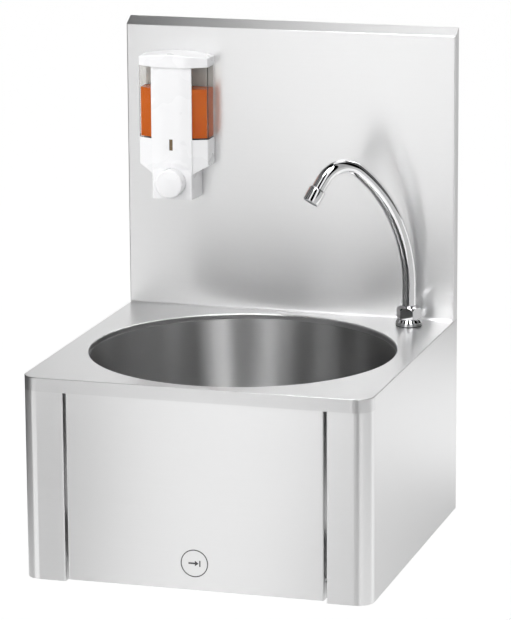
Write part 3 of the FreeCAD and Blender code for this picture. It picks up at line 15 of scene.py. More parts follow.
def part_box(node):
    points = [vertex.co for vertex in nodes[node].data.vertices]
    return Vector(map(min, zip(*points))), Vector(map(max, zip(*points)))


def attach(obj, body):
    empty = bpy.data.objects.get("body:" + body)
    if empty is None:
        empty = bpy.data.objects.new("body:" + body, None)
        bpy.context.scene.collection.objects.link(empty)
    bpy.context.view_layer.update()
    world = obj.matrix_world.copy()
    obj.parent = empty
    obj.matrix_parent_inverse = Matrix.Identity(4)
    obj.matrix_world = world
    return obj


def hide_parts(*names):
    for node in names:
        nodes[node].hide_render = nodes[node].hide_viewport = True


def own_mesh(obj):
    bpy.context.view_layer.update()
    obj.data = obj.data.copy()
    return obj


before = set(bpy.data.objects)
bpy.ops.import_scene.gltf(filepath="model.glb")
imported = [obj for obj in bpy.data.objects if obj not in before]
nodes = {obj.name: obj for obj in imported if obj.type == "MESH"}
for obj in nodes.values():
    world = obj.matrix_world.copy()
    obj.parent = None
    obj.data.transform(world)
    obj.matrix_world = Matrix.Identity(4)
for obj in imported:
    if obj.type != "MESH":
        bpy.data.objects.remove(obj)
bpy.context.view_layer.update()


# %% [markdown]
# The camera stands to the right of the sink, a little above it and far away, as for a catalogue
# picture. A camera can be placed by eye, but then no edge quite meets its place. Here its lens
# and its place come from fitting the casing's known width, depth and height to the edges in the
# picture. The lens is long, which keeps the upright edges nearly parallel.

# %% Camera
CAMERA_PLACE = (1.1253, -3.9077, 1.0546)
CAMERA_YAW = 0.2916
CAMERA_PITCH = 0.2282
CAMERA_ROLL = -0.006327
CAMERA_LENS = 203.1
SENSOR_WIDTH = 36
FARTHEST_VIEW = 100

camera_data = bpy.data.cameras.new("camera")
camera_data.lens = CAMERA_LENS
camera_data.sensor_width = SENSOR_WIDTH
camera_data.clip_end = FARTHEST_VIEW
camera = bpy.data.objects.new("camera", camera_data)
camera.rotation_mode = "QUATERNION"

aim = Euler((math.pi / 2 - CAMERA_PITCH, 0, CAMERA_YAW)).to_matrix()
camera.rotation_quaternion = (aim @ Matrix.Rotation(CAMERA_ROLL, 3, "Z")).to_quaternion()
camera.location = CAMERA_PLACE
bpy.context.scene.collection.objects.link(camera)
bpy.context.scene.camera = camera
bpy.context.scene.view_settings.view_transform = "Standard"
print("camera at", CAMERA_PLACE)

# %% [markdown]
# Every finish on the sink, such as brushed steel or clear plastic, is a small tree of shader
# nodes. Such trees can be built by hand in the editor. A script repeats them exactly, so a few
# helpers make them short to write: one starts a material with its main shader, and one adds a
# node with its inputs by name, each a number or a link.

# %% A finish is a tree of nodes


def new_finish(name, colour, roughness, **sockets):
    """A material with its main shader: its colour, its roughness and any other plain socket."""
    material = bpy.data.materials.new(name)
    material.use_nodes = True
    shader = material.node_tree.nodes["Principled BSDF"]
    shader.inputs["Base Color"].default_value = (*colour, 1)
    shader.inputs["Roughness"].default_value = roughness
    for socket, value in sockets.items():
        shader.inputs[socket.replace("_", " ")].default_value = value
    return material, material.node_tree, shader


def feed(tree, value, socket):
    """Links a value to a socket, or sets the socket where the value is a plain one."""
    if isinstance(value, bpy.types.NodeSocket):
        tree.links.new(value, socket)
    else:
        socket.default_value = value


def add(tree, kind, **inputs):
    """A node of a kind, with values or links for its inputs by name."""
    node = tree.nodes.new("ShaderNode" + kind)
    for name, value in inputs.items():
        feed(tree, value, node.inputs[name.replace("_", " ")])
    return node


print("node helpers ready")

# %% [markdown]
# Some values are worked out from others by Math nodes, and two shaders can share a surface. The
# room looks white to the camera and in reflections, while the light that falls on dull pieces is
# set by itself. One world for both would make the shadows as pale as the page. So a value is kept
# ready that tells what is looked at from what only lights a piece.

# %% Values, mixtures and what is looked at
HALF_A_BOUNCE = 0.5


def work_out(tree, operation, *values, kind="Math"):
    """The outputs of a Math or VectorMath node that does one operation on the values, in order."""
    node = add(tree, kind)
    node.operation = operation
    for socket, value in zip(node.inputs, values):
        feed(tree, value, socket)
    return node.outputs


def mix_shaders(tree, share, first, second):
    """The first shader where the share is 0, and the second where it is 1."""
    node = add(tree, "MixShader", Fac=share)
    tree.links.new(first.outputs[0], node.inputs[1])
    tree.links.new(second.outputs[0], node.inputs[2])
    return node


def seen_directly(tree):
    """1 for what the camera, a reflection or clear plastic shows, and 0 for what lights a piece,
    also where that light comes by way of the steel."""
    rays = add(tree, "LightPath").outputs
    shown = work_out(tree, "MAXIMUM", rays["Is Camera Ray"], rays["Is Glossy Ray"])[0]
    shown = work_out(tree, "MAXIMUM", shown, rays["Is Transmission Ray"])[0]
    before_dull = work_out(tree, "LESS_THAN", rays["Diffuse Depth"], HALF_A_BOUNCE)[0]
    return work_out(tree, "MULTIPLY", shown, before_dull)[0]


print("value helpers ready")

# %% [markdown]
# Pieces that are worked out here are meshes over arrays of points. They could be modelled by hand
# or with Blender's own primitives. An array keeps every size in sight, and a grid of points gives
# the faces of any bent, turned or wound surface. A face looks towards the side from which its
# corners run anticlockwise.

# %% Meshes from arrays of points


def new_piece(name, points, faces, material, smooth=True):
    """A mesh object from an array of points and an array or a list of faces."""
    if isinstance(faces, np.ndarray):
        faces = faces.tolist()
    mesh = bpy.data.meshes.new(name)
    mesh.from_pydata(np.asarray(points, float).reshape(-1, 3).tolist(), [], faces)
    mesh.polygons.foreach_set("use_smooth", np.full(len(mesh.polygons), smooth))
    mesh.update()
    mesh.materials.append(material)
    piece = bpy.data.objects.new(name, mesh)
    bpy.context.scene.collection.objects.link(piece)
    return piece


def grid_faces(rows, columns, wrap_rows=False, wrap_columns=False):
    """Four-sided faces between neighbouring points of a grid of rows and columns."""
    row = np.arange(rows if wrap_rows else rows - 1)[:, None]
    column = np.arange(columns if wrap_columns else columns - 1)[None, :]
    next_row, next_column = (row + 1) % rows, (column + 1) % columns
    corners = (row * columns + column, row * columns + next_column,
               next_row * columns + next_column, next_row * columns + column)
    return np.stack([np.broadcast_to(c, (row.size, column.size)).ravel() for c in corners],
                    axis=1)


print("mesh helpers ready")

# %% [markdown]
# The sink hangs at its real height, so the floor lies well below it and its shadow is soft. A
# white page could be painted in afterwards, but then reflections would miss it. This floor is
# white by its own colour, and a little light of its own, which only the camera, the metal and the
# clear plastic see, takes it to the white of the page. Seen from below it lets the view through,
# so that the underside can be looked at too.

# %% Floor
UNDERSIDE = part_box("side_panel_left")[0].z
HANGING_HEIGHT = 0.62
FLOOR_REACH = 40.0
FLOOR_GLOW = 0.22

floor_finish, tree, shader = new_finish("floor_white", (0.86, 0.86, 0.86), 0.9)
floor_finish.cycles.emission_sampling = "NONE"
glow = mix_shaders(tree, seen_directly(tree), add(tree, "Emission", Strength=0.0),
                   add(tree, "Emission", Strength=FLOOR_GLOW))
both = add(tree, "AddShader")
tree.links.new(shader.outputs[0], both.inputs[0])
tree.links.new(glow.outputs[0], both.inputs[1])
from_below = add(tree, "NewGeometry").outputs["Backfacing"]
one_sided = mix_shaders(tree, from_below, both, add(tree, "BsdfTransparent"))
tree.links.new(one_sided.outputs[0], tree.nodes["Material Output"].inputs["Surface"])

ends = np.array([-1, 1]) * FLOOR_REACH
floor_x, floor_y = np.meshgrid(ends, ends, indexing="ij")
floor_points = np.stack([floor_x, floor_y, np.full((2, 2), UNDERSIDE - HANGING_HEIGHT)], axis=-1)
floor = new_piece("floor", floor_points, grid_faces(2, 2)[:, ::-1], floor_finish, smooth=False)
print("floor", HANGING_HEIGHT, "m below the sink; it faces", tuple(floor.data.polygons[0].normal))

# %% [markdown]
# Steel shows what is round it more than it shows itself, so the room is shaped as a
# photographer's studio is. A picture of a real studio could be wrapped round the scene, but
# nothing in it could be moved. A plain room is chosen instead. All round it is white, which the
# camera, the metal and the clear plastic see as the page. What lights the dull pieces is
# brightest from the front left and falls off towards the opposite side.

# %% World
LIGHT_SIDE = (-0.55, -0.80, 0.25)
ROOM_LIGHT_NEAR, ROOM_LIGHT_FAR = 1.36, 0.34
NEAR_FROM, FAR_FROM = 0.8, -0.6
WHITE = (1, 1, 1, 1)

world = bpy.data.worlds.new("studio")
world.use_nodes = True
world.cycles.sampling_method = "NONE"
bpy.context.scene.world = world
tree = world.node_tree
room = tree.nodes["Background"]
room.inputs["Color"].default_value = WHITE
direction = add(tree, "TexCoord").outputs["Generated"]
towards = work_out(tree, "DOT_PRODUCT", direction, LIGHT_SIDE, kind="VectorMath")["Value"]
side_light = add(tree, "MapRange", Value=towards, From_Min=FAR_FROM, From_Max=NEAR_FROM,
                 To_Min=ROOM_LIGHT_FAR, To_Max=ROOM_LIGHT_NEAR)
tree.links.new(side_light.outputs[0], room.inputs["Strength"])
page = add(tree, "Background", Color=WHITE, Strength=1.0)
choice = mix_shaders(tree, seen_directly(tree), room, page)
tree.links.new(choice.outputs[0], tree.nodes["World Output"].inputs["Surface"])
print("room light", ROOM_LIGHT_NEAR, "at the front left and", ROOM_LIGHT_FAR, "opposite")

# %% [markdown]
# Two soft lamps stand in front, one high on the left and one higher still on the right. A small
# lamp would draw hard shadows, so these are squares of more than a metre. They give the white
# plastic a light and a dark side. Steel doesn't show them: it shows the cards of the next steps,
# which are placed for it alone.

# %% Lamps
LIGHT_CENTRE = Vector((0, -0.2, 0.15))
LAMP_DISTANCE = 3.0
LAMPS = [
    # name, azimuth and elevation in degrees, side of the square in metres, brightness
    ("lamp_key", -34, 46, 1.5, 1.6),
    ("lamp_top", 20, 66, 1.2, 0.9),
]


def direction_from(azimuth, elevation):
    """A unit vector; azimuth turns from the front (-Y) towards the right (+X), in degrees."""
    across, up = math.radians(azimuth), math.radians(elevation)
    return Vector((math.sin(across) * math.cos(up), -math.cos(across) * math.cos(up),
                   math.sin(up)))


def soft_lamp(name, azimuth, elevation, side, brightness):
    """A soft lamp that faces the sink. Its power is brightness times pi times its area, so that
    a brightness of 1 looks white."""
    data = bpy.data.lights.new(name, "AREA")
    data.shape = "RECTANGLE"
    data.size = data.size_y = side
    data.energy = brightness * math.pi * side * side
    lamp = bpy.data.objects.new(name, data)
    away = direction_from(azimuth, elevation)
    lamp.location = LIGHT_CENTRE + away * LAMP_DISTANCE
    lamp.rotation_euler = away.to_track_quat("Z", "Y").to_euler()
    lamp.visible_glossy = False
    bpy.context.scene.collection.objects.link(lamp)


for row in LAMPS:
    soft_lamp(*row)
print("lamps:", [row[0] for row in LAMPS])

# %% [markdown]
# What the steel shows are cards, as a photographer stands black and white boards round a shiny
# object. They could be lit by lamps. Glowing cards that only reflections see are chosen, because
# each one's brightness is then what a perfect mirror would show of it.

# %% A card that only reflections show


def stage_card(name, points, faces, brightness):
    """A glowing card that only reflections show."""
    finish, tree, shader = new_finish(name, (0, 0, 0), 1.0, Emission_Strength=1.0)
    finish.cycles.emission_sampling = "NONE"
    shader.inputs["Emission Color"].default_value = (brightness, brightness, brightness, 1)
    shader.inputs["Specular IOR Level"].default_value = 0.0
    piece = new_piece(name, points, faces, finish)
    piece.visible_camera = piece.visible_diffuse = piece.visible_shadow = False
    piece.visible_transmission = False


print("card maker ready")

# %% [markdown]
# The cards lie on a ball round the sink, so each is a range of directions: the bowl's wall turns
# through all of them, and shows them as upright bands. Two bright strip lights high up draw the
# two streaks in the bowl. The black and grey cards beside them draw the bands between, and the
# dark lines on the casing's bends and on the spout.

# %% Cards round the sink
CARD_DISTANCE = 2.5
CARD_STEPS = 9
CARDS = [
    # name, azimuths and elevations in degrees, brightness
    ("card_middle", (4, 24), (-60, 80), 0.0),
    ("card_middle_left", (-1, 4), (4, 80), 0.0),
    ("card_middle_right", (24, 29), (4, 80), 0.0),
    ("strip_light_left", (-22, -1), (50, 80), 10.0),
    ("card_left_front", (-46, -26), (4, 80), 0.02),
    ("card_left", (-64, -47), (4, 80), 0.32),
    ("card_left_dark", (-83, -64), (4, 80), 0.0),
    ("card_left_rear", (-97, -84), (4, 80), 0.22),
    ("card_rear_left", (-150, -98), (4, 80), 0.0),
    ("strip_light_right", (29, 48), (42, 80), 10.0),
    ("card_right_front", (50, 66), (4, 80), 0.0),
    ("card_right", (66, 82), (4, 80), 0.42),
    ("card_right_dark", (82, 104), (4, 80), 0.0),
    ("card_right_rear", (104, 122), (4, 80), 0.15),
    ("card_rear_right", (122, 166), (4, 60), 0.0),
    ("card_above", (-180, 180), (80, 90), 0.0),
    ("card_right_low", (26, 110), (-60, 4), 0.6),
    ("card_left_low", (-150, -55), (-60, 4), 0.05),
]


def card(name, azimuths, elevations, brightness):
    """A piece of a ball round the sink between two azimuths and two elevations. Each point is
    the direction of its azimuth and elevation times the distance."""
    across = np.radians(np.linspace(*azimuths, CARD_STEPS))[:, None]
    up = np.radians(np.linspace(*elevations, CARD_STEPS))[None, :]
    directions = np.stack([np.sin(across) * np.cos(up), -np.cos(across) * np.cos(up),
                           np.sin(up) + 0 * across], axis=-1)
    stage_card(name, directions * CARD_DISTANCE + np.array(LIGHT_CENTRE),
               grid_faces(CARD_STEPS, CARD_STEPS), brightness)


for row in CARDS:
    card(*row)
print(len(CARDS), "cards")

# %% [markdown]
# A flat sheet shows only a small part of the room. Its broad soft sheen comes from a slanted gap
# between two grey screens, so these are upright boards with slanted edges, in front for the panel
# and the backsplash and behind the wall for the casing's side.

# %% Screens for the flat sheets
SCREENS = [
    # name, near edge as (x, z) points, x of the far edge, y, brightness
    ("screen_left", [(-0.51, -0.74), (-0.45, -0.25), (-0.52, 0.0)], -0.60, -1.4, 0.12),
    ("screen_far_left", [(-0.60, -0.20), (-0.62, 0.0), (-0.80, 0.25)], -1.5, -1.41, 0.5),
    ("screen_right", [(-0.24, -0.74), (-0.12, -0.25), (-0.04, 0.0), (0.06, 0.25)], 0.3, -1.4,
     0.52),
    ("screen_low", [(-0.53, -0.74), (-0.46, -0.56)], -0.24, -1.39, 0.6),
    ("screen_side_low", [(0.15, -0.74), (0.15, -0.38)], 0.53, 1.0, 0.42),
    ("screen_side_low_right", [(0.53, -0.74), (0.53, -0.40)], 1.3, 1.01, 0.78),
    ("screen_side_high", [(0.15, -0.17), (0.15, 0.5)], 1.3, 1.0, 0.50),
]


def screen(name, edge, far_edge, depth, brightness):
    """An upright screen across the view. Its near edge runs through (x, z) points, and each of
    them is joined to the point of the same height on the far edge."""
    across, height = np.asarray(edge, float).T
    sides = [np.stack([x, np.full(across.size, depth), height], axis=-1)
             for x in (across, np.full(across.size, far_edge))]
    stage_card(name, np.stack(sides, axis=1), grid_faces(across.size, 2), brightness)


for row in SCREENS:
    screen(*row)
print(len(SCREENS), "screens")

# %% [markdown]
# No real surface is one even tone: sheet is scratched by the belt that brushed it, and a moulding
# takes the texture of its mould. A photograph of a surface could be laid on, but it would have to
# be unwrapped for every piece. Noise on a piece's own coordinates fits any shape. It varies the
# colour and the gloss a little, and raises the surface by a hair.

# %% Noise, and what it changes
NOISE_ENDS = (0.3, 0.7)


def join(tree, value, shader, socket):
    """Links a value to one of the main shader's sockets by its name."""
    tree.links.new(value, shader.inputs[socket])


def noise(tree, stretch, detail=4, softness=0.5):
    """Noise on the piece's own coordinates, with its scale along X, Y and Z per metre."""
    place = add(tree, "TexCoord").outputs["Object"]
    mapping = add(tree, "Mapping", Vector=place, Scale=stretch)
    texture = add(tree, "TexNoise", Vector=mapping.outputs[0], Scale=1, Detail=detail,
                  Roughness=softness)
    return texture.outputs["Fac"]


def spread(tree, source, low, high):
    """Turns a noise into a value that runs from low to high."""
    node = add(tree, "MapRange", Value=source, From_Min=NOISE_ENDS[0], From_Max=NOISE_ENDS[1],
               To_Min=low, To_Max=high)
    return node.outputs[0]


def blend(tree, source, dark, light, ends=NOISE_ENDS):
    """Turns a noise into a colour between a dark and a light one."""
    ramp = add(tree, "ValToRGB", Fac=source)
    for element, place, colour in zip(ramp.color_ramp.elements, ends, (dark, light)):
        element.position = place
        element.color = (*colour, 1)
    return ramp.outputs["Color"]


def relief(tree, shader, height, distance, strength):
    """Raises the surface by a height field, up to a distance in metres."""
    node = add(tree, "Bump", Height=height, Distance=distance, Strength=strength)
    join(tree, node.outputs["Normal"], shader, "Normal")


print("texture helpers ready")

# %% [markdown]
# The sink's sheet is brushed stainless steel. Its long fine scratches could be real grooves, but
# at this size they are far thinner than a pixel. So they are a noise drawn out along the grain,
# which varies the roughness and the tone, and a broader noise adds the slow change that handling
# leaves. Scratches spread light across the grain, so the shader is given that direction. In the
# drawn bowl the grain runs round it. The steel is one metal in several tones, and the tones are
# painted light and shade: paler on the backsplash, darker on the deck and much darker in the bowl.

# %% Brushed steel
GRAIN_ALONG_X, GRAIN_ROUND_BOWL = (9, 1400, 1400), (60, 60, 900)
HANDLING_MARKS = (3, 3, 5)
SCRATCH_DEPTH, SCRATCH_STRENGTH = 0.000004, 0.3
TONE_CHANGE, GLOSS_CHANGE, BLUE_TINT = 0.015, 0.07, 1.003
ACROSS_UPRIGHT, ACROSS_LEVEL = (0, 0, 1), (0, 1, 0)
BOWL_AXIS = (0.0, -0.2105)


def across_grain(tree, line):
    """The direction in which highlights are drawn out. On a flat sheet it is a fixed direction
    (x, y, z). On a piece turned about an upright axis through (x, y) it is square to both the
    surface and the circle through a point."""
    if len(line) == 3:
        return add(tree, "CombineXYZ", X=line[0], Y=line[1], Z=line[2]).outputs[0]
    place = add(tree, "TexCoord").outputs["Object"]
    arm = work_out(tree, "SUBTRACT", place, (*line, 0), kind="VectorMath")[0]
    around = work_out(tree, "CROSS_PRODUCT", arm, (0, 0, 1), kind="VectorMath")[0]
    normal = add(tree, "NewGeometry").outputs["Normal"]
    return work_out(tree, "CROSS_PRODUCT", around, normal, kind="VectorMath")[0]


def brushed_steel(name, tone, roughness, grain, line, spread_share=0.7):
    """Sheet steel with its grain along one axis and its highlights drawn out across it."""
    material, tree, shader = new_finish(name, (tone,) * 3, roughness, Metallic=1.0,
                                        Anisotropic=spread_share)
    scratches = noise(tree, grain, detail=3, softness=0.7)
    clouds = noise(tree, HANDLING_MARKS, detail=2)
    half_clouds = work_out(tree, "MULTIPLY", clouds, 0.5)[0]
    mixed = work_out(tree, "MULTIPLY_ADD", scratches, 0.5, half_clouds)[0]
    dark, light = tone * (1 - TONE_CHANGE), min(1.0, tone * (1 + TONE_CHANGE))
    join(tree, spread(tree, scratches, roughness * (1 - GLOSS_CHANGE),
                      roughness * (1 + GLOSS_CHANGE)), shader, "Roughness")
    join(tree, blend(tree, mixed, (dark,) * 3, (light, light, light * BLUE_TINT)), shader,
         "Base Color")
    relief(tree, shader, scratches, SCRATCH_DEPTH, SCRATCH_STRENGTH)
    join(tree, across_grain(tree, line), shader, "Tangent")
    return material


# Painted light and shade: each face's copy of the steel has its own tone, paler where the face
# looks lit and darker where it looks shaded.
upright_sheet = brushed_steel("brushed_sheet_upright", 0.86, 0.30, GRAIN_ALONG_X, ACROSS_UPRIGHT)
splash_sheet_painted_light = brushed_steel("brushed_sheet_splash_painted_light", 0.95, 0.30, GRAIN_ALONG_X, ACROSS_UPRIGHT)
level_sheet_painted_shade = brushed_steel("brushed_sheet_level_painted_shade", 0.80, 0.30, GRAIN_ALONG_X, ACROSS_LEVEL)
# Painted shade: the bowl's much darker tone makes its inside look shaded.
bowl_steel_painted_shade = brushed_steel("drawn_steel_painted_shade", 0.54, 0.34, GRAIN_ROUND_BOWL, BOWL_AXIS, 1.0)
rail_steel = brushed_steel("rail_steel", 0.66, 0.36, GRAIN_ALONG_X, ACROSS_UPRIGHT, 0.3)
for steel in (upright_sheet, splash_sheet_painted_light, level_sheet_painted_shade, bowl_steel_painted_shade, rail_steel):
    print("brushed steel:", steel.name)

# %% [markdown]
# The spout is chromed, the valve is brass with nickelled fittings, and pins, screws and springs
# are plain turned or drawn steel. Each could have its own shader. They differ only in colour, in
# gloss and in how fine their marks are, so one function with three values makes them all.

# %% Smooth metals
CLOUDY_GLOSS, CLOUDY_TONE = (0.7, 1.5), 0.93


def smooth_metal(name, colour, roughness, speckle=(60, 60, 60)):
    """Polished or turned metal with faint cloudy marks in its gloss."""
    material, tree, shader = new_finish(name, colour, roughness, Metallic=1.0)
    marks = noise(tree, speckle, detail=5)
    gloss = (roughness * share for share in CLOUDY_GLOSS)
    join(tree, spread(tree, marks, *gloss), shader, "Roughness")
    dark = tuple(value * CLOUDY_TONE for value in colour)
    join(tree, blend(tree, marks, dark, colour), shader, "Base Color")
    return material


polished = smooth_metal("polished_chrome", (0.88, 0.88, 0.89), 0.035)
turned_steel = smooth_metal("turned_steel", (0.70, 0.70, 0.71), 0.22, (20, 20, 400))
nickel = smooth_metal("nickel_plating", (0.78, 0.76, 0.72), 0.16)
brass = smooth_metal("turned_brass", (0.76, 0.58, 0.30), 0.26, (300, 300, 300))
wire_steel = smooth_metal("spring_wire", (0.62, 0.62, 0.64), 0.3, (500, 500, 500))
for metal in (polished, turned_steel, nickel, brass, wire_steel):
    print("smooth metal:", metal.name)

# %% [markdown]
# The dispenser and the waste are white mouldings with a faint orange-peel skin, washers are
# nylon, and seals are black rubber, nearly dull. All come out of a mould, so one function makes
# them, with the depth of the skin as a value.

# %% Mouldings and rubber
SKIN_GRAIN, SLOW_CHANGE = (700, 700, 700), (25, 25, 25)
SKIN_STRENGTH = 0.4
SKIN_GLOSS, SKIN_TONE = (0.92, 1.08), 0.98


def moulded(name, colour, roughness, skin=0.00002):
    """Moulded plastic or rubber: a fine skin, and a gloss that changes a little over it."""
    material, tree, shader = new_finish(name, colour, roughness)
    texture = noise(tree, SKIN_GRAIN, detail=3)
    broad = noise(tree, SLOW_CHANGE, detail=2)
    gloss = (roughness * share for share in SKIN_GLOSS)
    join(tree, spread(tree, broad, *gloss), shader, "Roughness")
    dark = tuple(value * SKIN_TONE for value in colour)
    join(tree, blend(tree, broad, dark, colour), shader, "Base Color")
    relief(tree, shader, texture, skin, SKIN_STRENGTH)
    return material


white_plastic = moulded("white_moulding", (0.90, 0.90, 0.91), 0.28)
nylon = moulded("natural_nylon", (0.82, 0.81, 0.76), 0.45)
rubber = moulded("black_rubber", (0.022, 0.022, 0.023), 0.7, 0.00006)
black_plastic = moulded("black_plastic", (0.03, 0.03, 0.032), 0.38)
grey_plastic = moulded("grey_plastic", (0.38, 0.39, 0.40), 0.4)
# The sight window's dark amber is the soap's own colour seen through it, darkened as painted shade
# of the tank's inside.
window_painted_shade = moulded("sight_window_painted_shade", (0.17, 0.115, 0.06), 0.2)
for moulding in (white_plastic, nylon, rubber, black_plastic, grey_plastic, window_painted_shade):
    print("moulding:", moulding.name)

# %% [markdown]
# The tank is clear plastic and the soap in it is amber. Thick glass would bend the view far more
# than this thin shell does, so the tank's index is set low. Real soap scatters light inside,
# which takes long to render. A mostly opaque amber with some light let through looks the same
# from outside.

# %% Clear tank and soap
FLOW_GRAIN, FLOW_GLOSS = (20, 20, 60), (0.02, 0.07)
SWIRL_GRAIN, SWIRL_GLOSS = (30, 30, 18), (0.06, 0.12)

clear_plastic, tree, shader = new_finish("clear_plastic", (0.99, 0.985, 0.965), 0.04,
                                         Transmission_Weight=1.0, IOR=1.18)
flow = noise(tree, FLOW_GRAIN, detail=2)
join(tree, spread(tree, flow, *FLOW_GLOSS), shader, "Roughness")

soap, tree, shader = new_finish("amber_soap", (0.80, 0.17, 0.02), 0.08, Transmission_Weight=0.3,
                                IOR=1.2)
swirl = noise(tree, SWIRL_GRAIN, detail=3)
join(tree, blend(tree, swirl, (0.86, 0.15, 0.008), (0.98, 0.22, 0.02)), shader, "Base Color")
join(tree, spread(tree, swirl, *SWIRL_GLOSS), shader, "Roughness")
print("clear:", clear_plastic.name, "and", soap.name)

# %% [markdown]
# A woven steel braid covers the hose inside the casing. Its wires could be modelled one by one,
# but they are a fifth of a millimetre thick. Two waves at opposite slopes, of which the higher
# one counts, show crossing strands well enough. Their colour is painted shade: dark in the
# grooves between the strands and pale on their tops.

# %% Braid
STRANDS_PER_METRE = 260
STRAND_DEPTH, STRAND_STRENGTH = 0.0003, 0.6
STRAND_SLOPE = 0.9, 0.5, 0.8
STRAND_ENDS = 0.4, 0.8

braid, tree, shader = new_finish("woven_braid", (0.60, 0.60, 0.61), 0.38, Metallic=0.9)
place = add(tree, "TexCoord").outputs["Object"]
strands = []
for side in (1, -1):
    turned = add(tree, "Mapping", Vector=place,
                 Rotation=(STRAND_SLOPE[0] * side, STRAND_SLOPE[1], STRAND_SLOPE[2] * side))
    wave = add(tree, "TexWave", Vector=turned.outputs[0], Scale=STRANDS_PER_METRE, Distortion=0.0)
    strands.append(wave.outputs["Fac"])
weave = work_out(tree, "MAXIMUM", *strands)[0]
# Painted shade: the colour runs from dark in the grooves between the strands to pale on their
# tops.
join(tree, blend(tree, weave, (0.22, 0.22, 0.23), (0.66, 0.66, 0.67), ends=STRAND_ENDS), shader,
     "Base Color")
relief(tree, shader, weave, STRAND_DEPTH, STRAND_STRENGTH)
print("finishes:", len(bpy.data.materials))

# %% [markdown]
# Each piece of the frame now gets its finish. The folded and moulded pieces are good as they are,
# so they keep their meshes. One table holds what is made of what, as a parts list would, which
# shows at a glance whether a piece was forgotten.

# %% Finishes of the frame's pieces
finishes = {
    upright_sheet: ["side_panel_left", "side_panel_right", "push_panel"],
    splash_sheet_painted_light: ["backsplash"],
    level_sheet_painted_shade: ["deck"],
    bowl_steel_painted_shade: ["bowl"],
    rail_steel: ["rear_rail", "valve_rail", "spout_backing_washer"],
    turned_steel: ["hinge_pins", "stop_pins", "waste_screw", "soap_plate_screws",
                   "soap_plate_nuts"],
    polished: ["spout_base", "spout_union_nut", "spout_tube", "aerator_housing",
               "waste_strainer"],
    nickel: ["valve_plunger", "mixer_spindle", "hose_nut_valve", "hose_nut_spout"],
    brass: ["valve_body", "valve_locknut", "spout_backnut"],
    wire_steel: ["valve_spring", "soap_spring"],
    white_plastic: ["waste_cup", "soap_cover", "soap_lid", "soap_button", "soap_wall_plate"],
    grey_plastic: ["soap_pump_body", "soap_nozzle", "inlet_check_valves", "aerator_insert"],
    nylon: ["hinge_washers", "spout_slip_ring", "soap_piston"],
    black_plastic: ["mixer_knob"],
    rubber: ["striker_pad", "valve_seal", "spout_gasket", "spout_o_ring", "aerator_gasket",
             "waste_gasket_upper", "waste_gasket_lower"],
    braid: ["hose"],
    clear_plastic: ["soap_tank"],
    soap: ["soap_fill"],
    window_painted_shade: ["soap_sight_window"],
}
for material, names in finishes.items():
    for name in names:
        nodes[name].data.materials.clear()
        nodes[name].data.materials.append(material)
print("unfinished:", sorted(set(nodes) - {n for names in finishes.values() for n in names}))

# %% [markdown]
# The swan neck is a chromed brass tube of 16 mm, bent over two formers. A curve with a round
# bevel could draw it. Rings worked out along two arcs are chosen, because they keep the bends
# tangent to each other, and a mirror finish shows the least flat. The middle line is a riser with
# the bead that the union nut holds, a long bend, a short bend and a straight end, all in one
# upright plane.

# %% Swan neck's sizes and place
TUBE_RADIUS, TUBE_BORE = 0.008, 0.0068
BEAD_RADIUS, BEAD_HEIGHTS = 0.0098, (0.0171, 0.0186)
TUBE_FOOT, RISER_TOP = 0.0082, 0.047
SWEEP_RADIUS, SWEEP_ANGLE = 0.184, math.radians(50.8)
CROOK_RADIUS, OUTLET_HEADING = 0.0325, math.radians(145)
BEND_STEPS, RING_STEPS = 73, 72
OUTLET_LENGTH, OUTLET_FACE = 0.0193, 0.0293
SPOUT_TURN = math.radians(225)

flange_low, flange_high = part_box("spout_base")
NECK_FOOT = np.array([(flange_low.x + flange_high.x) / 2, (flange_low.y + flange_high.y) / 2,
                      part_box("spout_tube")[0].z - TUBE_FOOT])
OUTWARD = np.array([math.cos(SPOUT_TURN), math.sin(SPOUT_TURN), 0])
UPWARD = np.array([0, 0, 1.0])
SIDEWAYS = np.cross(OUTWARD, UPWARD)
print("swan neck stands at", NECK_FOOT.round(4))

# %% Swan neck's middle line


def neck_line():
    """Reach, height, heading from upright and radius along the tube. On a bend, a point is the
    bend's centre plus its radius along (-cos, sin) of the heading."""
    bead_low, bead_high = BEAD_HEIGHTS
    riser = np.array([TUBE_FOOT, bead_low, bead_low, bead_high, bead_high, RISER_TOP])
    sweep = np.linspace(0, SWEEP_ANGLE, BEND_STEPS)[1:]
    crook = np.linspace(SWEEP_ANGLE, OUTLET_HEADING, BEND_STEPS)[1:]
    sweep_reach = SWEEP_RADIUS * (1 - np.cos(sweep))
    sweep_height = RISER_TOP + SWEEP_RADIUS * np.sin(sweep)
    centre_reach = sweep_reach[-1] + CROOK_RADIUS * math.cos(SWEEP_ANGLE)
    centre_height = sweep_height[-1] - CROOK_RADIUS * math.sin(SWEEP_ANGLE)
    crook_reach = centre_reach - CROOK_RADIUS * np.cos(crook)
    crook_height = centre_height + CROOK_RADIUS * np.sin(crook)
    end = np.array([OUTLET_LENGTH])
    reach = np.concatenate([0 * riser, sweep_reach, crook_reach,
                            crook_reach[-1] + end * math.sin(OUTLET_HEADING)])
    height = np.concatenate([riser, sweep_height, crook_height,
                             crook_height[-1] + end * math.cos(OUTLET_HEADING)])
    heading = np.concatenate([0 * riser, sweep, crook, [OUTLET_HEADING]])
    radius = np.full(reach.size, TUBE_RADIUS)
    radius[2:4] = BEAD_RADIUS
    return reach, height, heading, radius


line = neck_line()
print("middle line:", line[0].size, "points, up to",
      round(float(line[1].max()) * 1000), "mm high")

# %% [markdown]
# The rings of the outside go up the line, those of the bore come back inside it, and the two
# close at both ends, so the tube is one closed shell with a real wall. Its faces have to look
# outwards. The sign of the volume that they enclose tells whether they do.

# %% Swan neck's rings and shell


def full_circle(steps):
    """Angles evenly round a circle, without a second point where it closes."""
    return np.linspace(0, 2 * np.pi, steps, endpoint=False)


